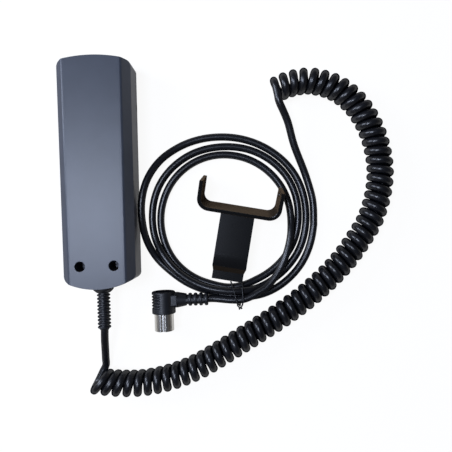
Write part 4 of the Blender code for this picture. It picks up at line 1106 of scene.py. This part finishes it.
def tongue_shape(holder):
    """The tongue: flat, then swept up to a ridge and stepped down to its end plate."""
    root = 6.0 * MM
    ramp = 34.0 * MM
    ridge = 42.5 * MM
    step = 3.5 * MM
    end = 51.8 * MM
    rise = 1.8 * MM
    sweep = 1.6
    undercut = step * 0.35
    edge_radius = 0.5 * MM
    thick = holder.tongue_thickness
    top = holder.tongue_height + thick
    end_top = holder.tongue_end_height + thick
    line = [(-root, top)]
    for share in np.linspace(0.0, 1.0, 9):
        line.append((-ramp - (ridge - ramp) * share, top + rise * share ** sweep))
    line += [(-ridge - step, end_top), (-end, end_top)]
    under = [(y + undercut * (-end < y < -ramp), z - thick) for y, z in line]
    shape = raised(flat_face(line + under[::-1]), -holder.tongue_width / 2, holder.tongue_width / 2)
    moved(shape, turn=Matrix.Rotation(math.pi / 2, 4, "Z") @ TO_FOOT)
    for vert in shape.verts:
        if vert.co.y < -ridge - step / 2:
            vert.co.x *= holder.tongue_end_width / holder.tongue_width
    inner = -root - CLEARANCE
    soften(shape, edge_radius, lambda edge: max(vert.co.y for vert in edge.verts) < inner, 3)
    return shape


def holder_shape(holder):
    """Clip and tongue in one piece, with the sunk mark of the mould's gate on the tongue."""
    shape = carved(clip_shape(holder), tongue_shape(holder), "UNION")
    gate_radius = 2.0 * MM
    gate_depth = 0.3 * MM
    gate_place = (-0.5 * MM, -13.8 * MM, 0.0)
    top = holder.tongue_height + holder.tongue_thickness
    gate_mark = raised(disc(gate_radius, 40), top - gate_depth, top + MM)
    shape = carved(shape, moved(gate_mark, gate_place))
    return moved(shape, (*HOLDER_PLACE, 0.0), Matrix.Rotation(math.radians(HOLDER_TURN), 4, "Z"))


# Finishes that more than one piece takes

def case_abs(colours):
    # ABS from a spark-eroded mould: satin, with a fine pitted grain. The real grain is near 0.1 mm and is
    # drawn at 0.4 mm so that it shows.
    # The warm haze is a painted reflection, which browns the steep side walls
    return moulded("moulded_abs_case", colours.case, roughness=0.38, grain_mm=0.4, grain_depth_mm=0.006,
                   spread=0.06, haze=0.12, edge_gloss=0.04)


def soft_pvc(colours):
    # Soft PVC moulded on to the cord: black, satin, slightly uneven where it cooled.
    return moulded("moulded_soft_pvc", colours.boot, roughness=0.42, grain_mm=0.5, grain_depth_mm=0.02,
                   spread=0.15, cloud_mm=6.0)


def nickel_plate(colours):
    # Nickel on drawn brass: bright but soft in its reflections, with lengthwise drawing lines whose darker
    # colour also paints in reflection stripes.
    return plated("nickel_plate", colours.nickel, roughness=0.32, streak_mm=0.9, streak_length_mm=60.0)


# Operators

class MakeCase(Operator):
    """Model the case's back and front halves"""
    bl_idname = "hand_control.make_case"
    bl_label = "Case"

    def execute(self, context):
        scene = context.scene
        case = scene.control_case
        finish = case_abs(scene.control_colours)
        back = back_shape(case, scene.control_boot)
        add_piece("case_back", back, finish, HANDSET, "case_plastic", "back_shell")
        front = front_shape(case, scene.control_key, scene.control_boot)
        add_piece("case_front", front, finish, HANDSET, "case_plastic", "front_shell")
        return {"FINISHED"}


class MakeKeys(Operator):
    """Model the four keys, each on its own sprung body"""
    bl_idname = "hand_control.make_keys"
    bl_label = "Keys"

    def execute(self, context):
        scene = context.scene
        # Hard ABS caps with a duller face than the case, worn smooth by fingers
        finish = moulded("moulded_abs_key", scene.control_colours.key, roughness=0.5, grain_mm=0.35,
                         grain_depth_mm=0.015)
        for name, (x, y) in zip(KEY_NAMES, key_places(scene.control_case, scene.control_key)):
            shape = key_shape(scene.control_case, scene.control_key, points_up=name.startswith("upper"))
            moved(shape, (x, y, 0.0))
            add_piece("key_" + name, shape, finish, name + "_key", "button_plastic", name + "_button")
        return {"FINISHED"}


class MakeMat(Operator):
    """Model the silicone mat behind the keys, with a dome under each key that gives way to it"""
    bl_idname = "hand_control.make_mat"
    bl_label = "Mat"

    def execute(self, context):
        scene = context.scene
        key = scene.control_key
        # Cast silicone: grey, dull and slightly clouded
        finish = moulded("cast_silicone", linear("#a2a3a6"), roughness=0.6, grain_mm=0.4, grain_depth_mm=0.02)
        tip, back = (Vector(corner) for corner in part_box("keypad_mat"))
        middle = (tip + back) / 2
        front = back.z - key.mat
        sheet = raised(rectangle(back.x - tip.x, back.y - tip.y, key.corner), front, back.z)
        moved(sheet, (middle.x, middle.y, 0.0))
        add_piece("mat_sheet", sheet, finish, HANDSET, "silicone", "keypad_mat")
        profile = [(0.0, tip.z), (key.dome_tip / 2, tip.z), (key.dome_base / 2, front), (0.0, front)]
        for name, (x, y) in zip(KEY_NAMES, key_places(scene.control_case, key)):
            dome = moved(turned(profile, 40), (x, y, 0.0))
            piece = add_piece("dome_" + name, dome, finish, HANDSET, "silicone", "keypad_mat")
            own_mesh(piece)
        return {"FINISHED"}


class MakeBoot(Operator):
    """Model the ribbed strain relief where the cord leaves the case"""
    bl_idname = "hand_control.make_boot"
    bl_label = "Boot"

    def execute(self, context):
        scene = context.scene
        shape = boot_shape(scene.control_case, scene.control_boot, scene.control_cord)
        add_piece("boot", shape, soft_pvc(scene.control_colours), HANDSET, "rubber", "strain_relief")
        return {"FINISHED"}


class MakePlug(Operator):
    """Model the right-angle plug body and its metal shell"""
    bl_idname = "hand_control.make_plug"
    bl_label = "Plug"

    def execute(self, context):
        scene = context.scene
        plug = scene.control_plug
        add_piece("plug_body", plug_body_shape(plug), soft_pvc(scene.control_colours), HANDSET, "rubber",
                  "plug_overmould")
        add_piece("plug_tube", plug_shell_shape(plug), nickel_plate(scene.control_colours), HANDSET, "nickel",
                  "plug_shell")
        return {"FINISHED"}


class MakeCord(Operator):
    """Lay the cord from the boot through its curls and tied loops to the plug, with its tie"""
    bl_idname = "hand_control.make_cord"
    bl_label = "Cord and tie"

    def execute(self, context):
        scene = context.scene
        cord = scene.control_cord
        # Extruded PVC jacket: black and glossier than the mouldings, so its rounds carry bright lines
        jacket = moulded("extruded_pvc_jacket", scene.control_colours.cord, roughness=0.30, grain_mm=12.0,
                         grain_depth_mm=0.01, spread=0.2, cloud_mm=9.0)
        # Plastic-coated wire: thin, black and dull
        coating = moulded("coated_tie_wire", scene.control_colours.cord, roughness=0.5, grain_mm=0.3,
                          grain_depth_mm=0.01)
        run, swell = cord_run(scene.control_case, scene.control_boot, cord, scene.control_plug)
        piece = add_tube("cord", run, swell, cord.diameter, jacket, 8, "cord", "cord_lead", "curly_cord",
                         "cord_tail", "cord_loops")
        wraps = tie_run(cord)
        tie = add_tube("tie", wraps, np.ones(len(wraps)), cord.tie_wire, coating, 4, "tie", "cord_tie")
        packed = frame["nodes"]
        on_cord = [tie, bpy.data.objects["plug_body"], bpy.data.objects["plug_tube"], packed["plug_insert"]]
        on_cord += [packed["plug_pin_%d" % number] for number in range(1, 6)]
        return {"FINISHED"}


class MakeHolder(Operator):
    """Model the loose holder, a leaning clip on a stepped tongue"""
    bl_idname = "hand_control.make_holder"
    bl_label = "Holder"

    def execute(self, context):
        scene = context.scene
        # ABS from a polished mould: black and smoother than the case; the brown on its steep sides is a
        # painted warm reflection of a brown table
        finish = moulded("moulded_abs_holder", scene.control_colours.holder, roughness=0.18, grain_mm=0.5,
                         grain_depth_mm=0.001, spread=0.12, cloud_mm=14.0, haze=0.6)
        add_piece("clip", holder_shape(scene.control_holder), finish, "holder", "holder_plastic", "holder")
        return {"FINISHED"}


class DressInside(Operator):
    """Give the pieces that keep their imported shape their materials"""
    bl_idname = "hand_control.dress_inside"
    bl_label = "Inner pieces"

    def execute(self, context):
        colours = context.scene.control_colours
        # Plated steel: dark grey, with a fine even speckle
        screw = plated("plated_steel", colours.screw, roughness=0.35, streak_mm=0.25, streak_length_mm=0.25)
        nickel = nickel_plate(colours)
        dressing = {
            # Lacquered glass laminate: glossy green, mottled by the weave below
            "circuit_board": moulded("lacquered_laminate", linear("#2f6f45"), roughness=0.35, grain_mm=0.9,
                                     grain_depth_mm=0.03, spread=0.25, cloud_mm=3.0),
            # Undyed nylon: milky white
            "wire_header": moulded("natural_nylon", linear("#e0ddd2"), roughness=0.45, grain_mm=0.4,
                                   grain_depth_mm=0.02, spread=0.05),
            # Phenolic moulding: dark and dull
            "plug_insert": moulded("moulded_phenolic", linear("#26272a"), roughness=0.5, grain_mm=0.3,
                                   grain_depth_mm=0.02),
        }
        for name in ("board_screw_upper", "board_screw_lower", "case_screw_left", "case_screw_right"):
            dressing[name] = screw
        # Extruded insulation: a clear colour for each core, slightly glossy
        insulation = ["#a33b32", "#26272b", "#c9a63a", "#3d7a4a", "#d8d6cf"]
        for number, shade in enumerate(insulation, start=1):
            dressing["plug_pin_%d" % number] = nickel
            dressing["inner_wire_%d" % number] = moulded("wire_insulation_%d" % number, linear(shade),
                                                         roughness=0.4, grain_mm=0.3, grain_depth_mm=0.01)
        for name, finish in dressing.items():
            mesh = frame["nodes"][name].data
            mesh.materials.clear()
            mesh.materials.append(finish)
        return {"FINISHED"}


class SetStage(Operator):
    """Set the floor, the lights and the camera that looks straight down"""
    bl_idname = "hand_control.set_stage"
    bl_label = "Stage"

    def execute(self, context):
        scene = context.scene
        scene.view_settings.view_transform = "Standard"
        self.add_floor()
        self.add_world(scene)
        # The main light, a wide dim panel that the back mirrors, and a low window on the left
        self.add_lamp("softbox", place=(-0.29, -0.01, 1.0), spread=(0.34, 0.34), power=7.0)
        self.add_lamp("ceiling", place=(-0.45, 0.16, 1.2), spread=(1.08, 0.6), power=0.9,
                      aim=(-0.45, 0.16, 0.0))
        self.add_lamp("window", place=(-0.66, 0.24, 0.42), spread=(0.30, 0.45), power=5.0)
        self.add_camera(scene)
        return {"FINISHED"}

    def add_floor(self):
        """A pale floor that the camera and reflections see as near white, with a faint shadow."""
        radius = 4.0
        height = -0.05 * MM
        whiteness = 0.88
        floor = loose_object("floor", moved(disc(radius, 96), (0.0, 0.0, height)))
        made, tree = new_material("pale_floor")
        path = add_node(tree, "ShaderNodeLightPath")
        seen = path.outputs["Is Camera Ray"]
        for ray in ("Is Glossy Ray", "Is Transmission Ray"):
            either = add_node(tree, "ShaderNodeMath", {0: seen, 1: path.outputs[ray]}, operation="MAXIMUM")
            seen = either.outputs["Value"]
        share = add_node(tree, "ShaderNodeMath", {0: seen, 1: whiteness}, operation="MULTIPLY")
        matt = add_node(tree, "ShaderNodeBsdfDiffuse", {"Color": (0.8, 0.8, 0.8, 1.0)})
        white = add_node(tree, "ShaderNodeEmission", {"Color": (1.0, 1.0, 1.0, 1.0), "Strength": 1.06})
        mix = add_node(tree, "ShaderNodeMixShader", {0: share.outputs["Value"], 1: matt.outputs["BSDF"],
                                                     2: white.outputs["Emission"]})
        add_node(tree, "ShaderNodeOutputMaterial", {"Surface": mix.outputs["Shader"]})
        floor.data.materials.append(made)

    def add_world(self, scene):
        """Studio surroundings: a pale backdrop round the horizon, and a dim ceiling."""
        world = bpy.data.worlds.new("studio")
        scene.world = world
        world.use_nodes = True
        tree = world.node_tree
        tree.nodes.clear()
        way = add_node(tree, "ShaderNodeTexCoord").outputs["Generated"]
        height = add_node(tree, "ShaderNodeSeparateXYZ", {"Vector": way}).outputs["Z"]
        backdrop = {0.0: linear("#ecebe9"), 0.22: linear("#6f6a64"), 0.75: linear("#42464d")}
        shade = add_ramp(tree, height, backdrop)
        light = add_node(tree, "ShaderNodeBackground", {"Color": shade, "Strength": 1.0})
        add_node(tree, "ShaderNodeOutputWorld", {"Surface": light.outputs["Background"]})

    def add_lamp(self, name, place, spread, power, aim=(0.0, 0.0, 0.0)):
        lamp = bpy.data.lights.new(name, "AREA")
        lamp.shape = "RECTANGLE"
        lamp.size, lamp.size_y = spread
        lamp.energy = power
        lamp.color = bpy.context.scene.control_colours.daylight
        item = bpy.data.objects.new(name, lamp)
        item.location = place
        item.rotation_euler = (Vector(aim) - Vector(place)).to_track_quat("-Z", "Y").to_euler()
        bpy.context.scene.collection.objects.link(item)

    def add_camera(self, scene):
        """The photograph is square and was taken from straight above, about 0.3 m away."""
        view = bpy.data.cameras.new("camera")
        view.sensor_width = 36.0
        view.lens = 35.44
        view.clip_start = 0.01
        camera = bpy.data.objects.new("camera", view)
        camera.location = (0.0842, -0.0379, 0.314)
        camera.rotation_euler = (0.0, 0.0, math.radians(-1.8))
        scene.collection.objects.link(camera)
        scene.camera = camera


class HandControlPanel(Panel):
    """Lists the operators that build the hand control"""
    bl_idname = "VIEW3D_PT_hand_control"
    bl_label = "Hand control"
    bl_space_type = "VIEW_3D"
    bl_region_type = "UI"
    bl_category = "Hand control"

    def draw(self, context):
        for operator in OPERATORS:
            self.layout.operator(operator.bl_idname)


SETTINGS = {
    "control_case": CaseSizes,
    "control_key": KeySizes,
    "control_boot": BootSizes,
    "control_cord": CordSizes,
    "control_plug": PlugSizes,
    "control_holder": HolderSizes,
    "control_colours": Colours,
}
OPERATORS = [MakeCase, MakeKeys, MakeMat, MakeBoot, MakePlug, MakeCord, MakeHolder, DressInside, SetStage]


def register():
    for group in SETTINGS.values():
        bpy.utils.register_class(group)
    for name, group in SETTINGS.items():
        setattr(bpy.types.Scene, name, PointerProperty(type=group))
    for operator in OPERATORS:
        bpy.utils.register_class(operator)
    bpy.utils.register_class(HandControlPanel)


def unregister():
    bpy.utils.unregister_class(HandControlPanel)
    for operator in reversed(OPERATORS):
        bpy.utils.unregister_class(operator)
    for name, group in SETTINGS.items():
        delattr(bpy.types.Scene, name)
        bpy.utils.unregister_class(group)


def main():
    register()
    bpy.ops.hand_control.make_case()
    bpy.ops.hand_control.make_keys()
    bpy.ops.hand_control.make_mat()
    bpy.ops.hand_control.make_boot()
    bpy.ops.hand_control.make_plug()
    bpy.ops.hand_control.make_cord()
    bpy.ops.hand_control.make_holder()
    bpy.ops.hand_control.dress_inside()
    bpy.ops.hand_control.set_stage()


if __name__ == "__main__":
    main()
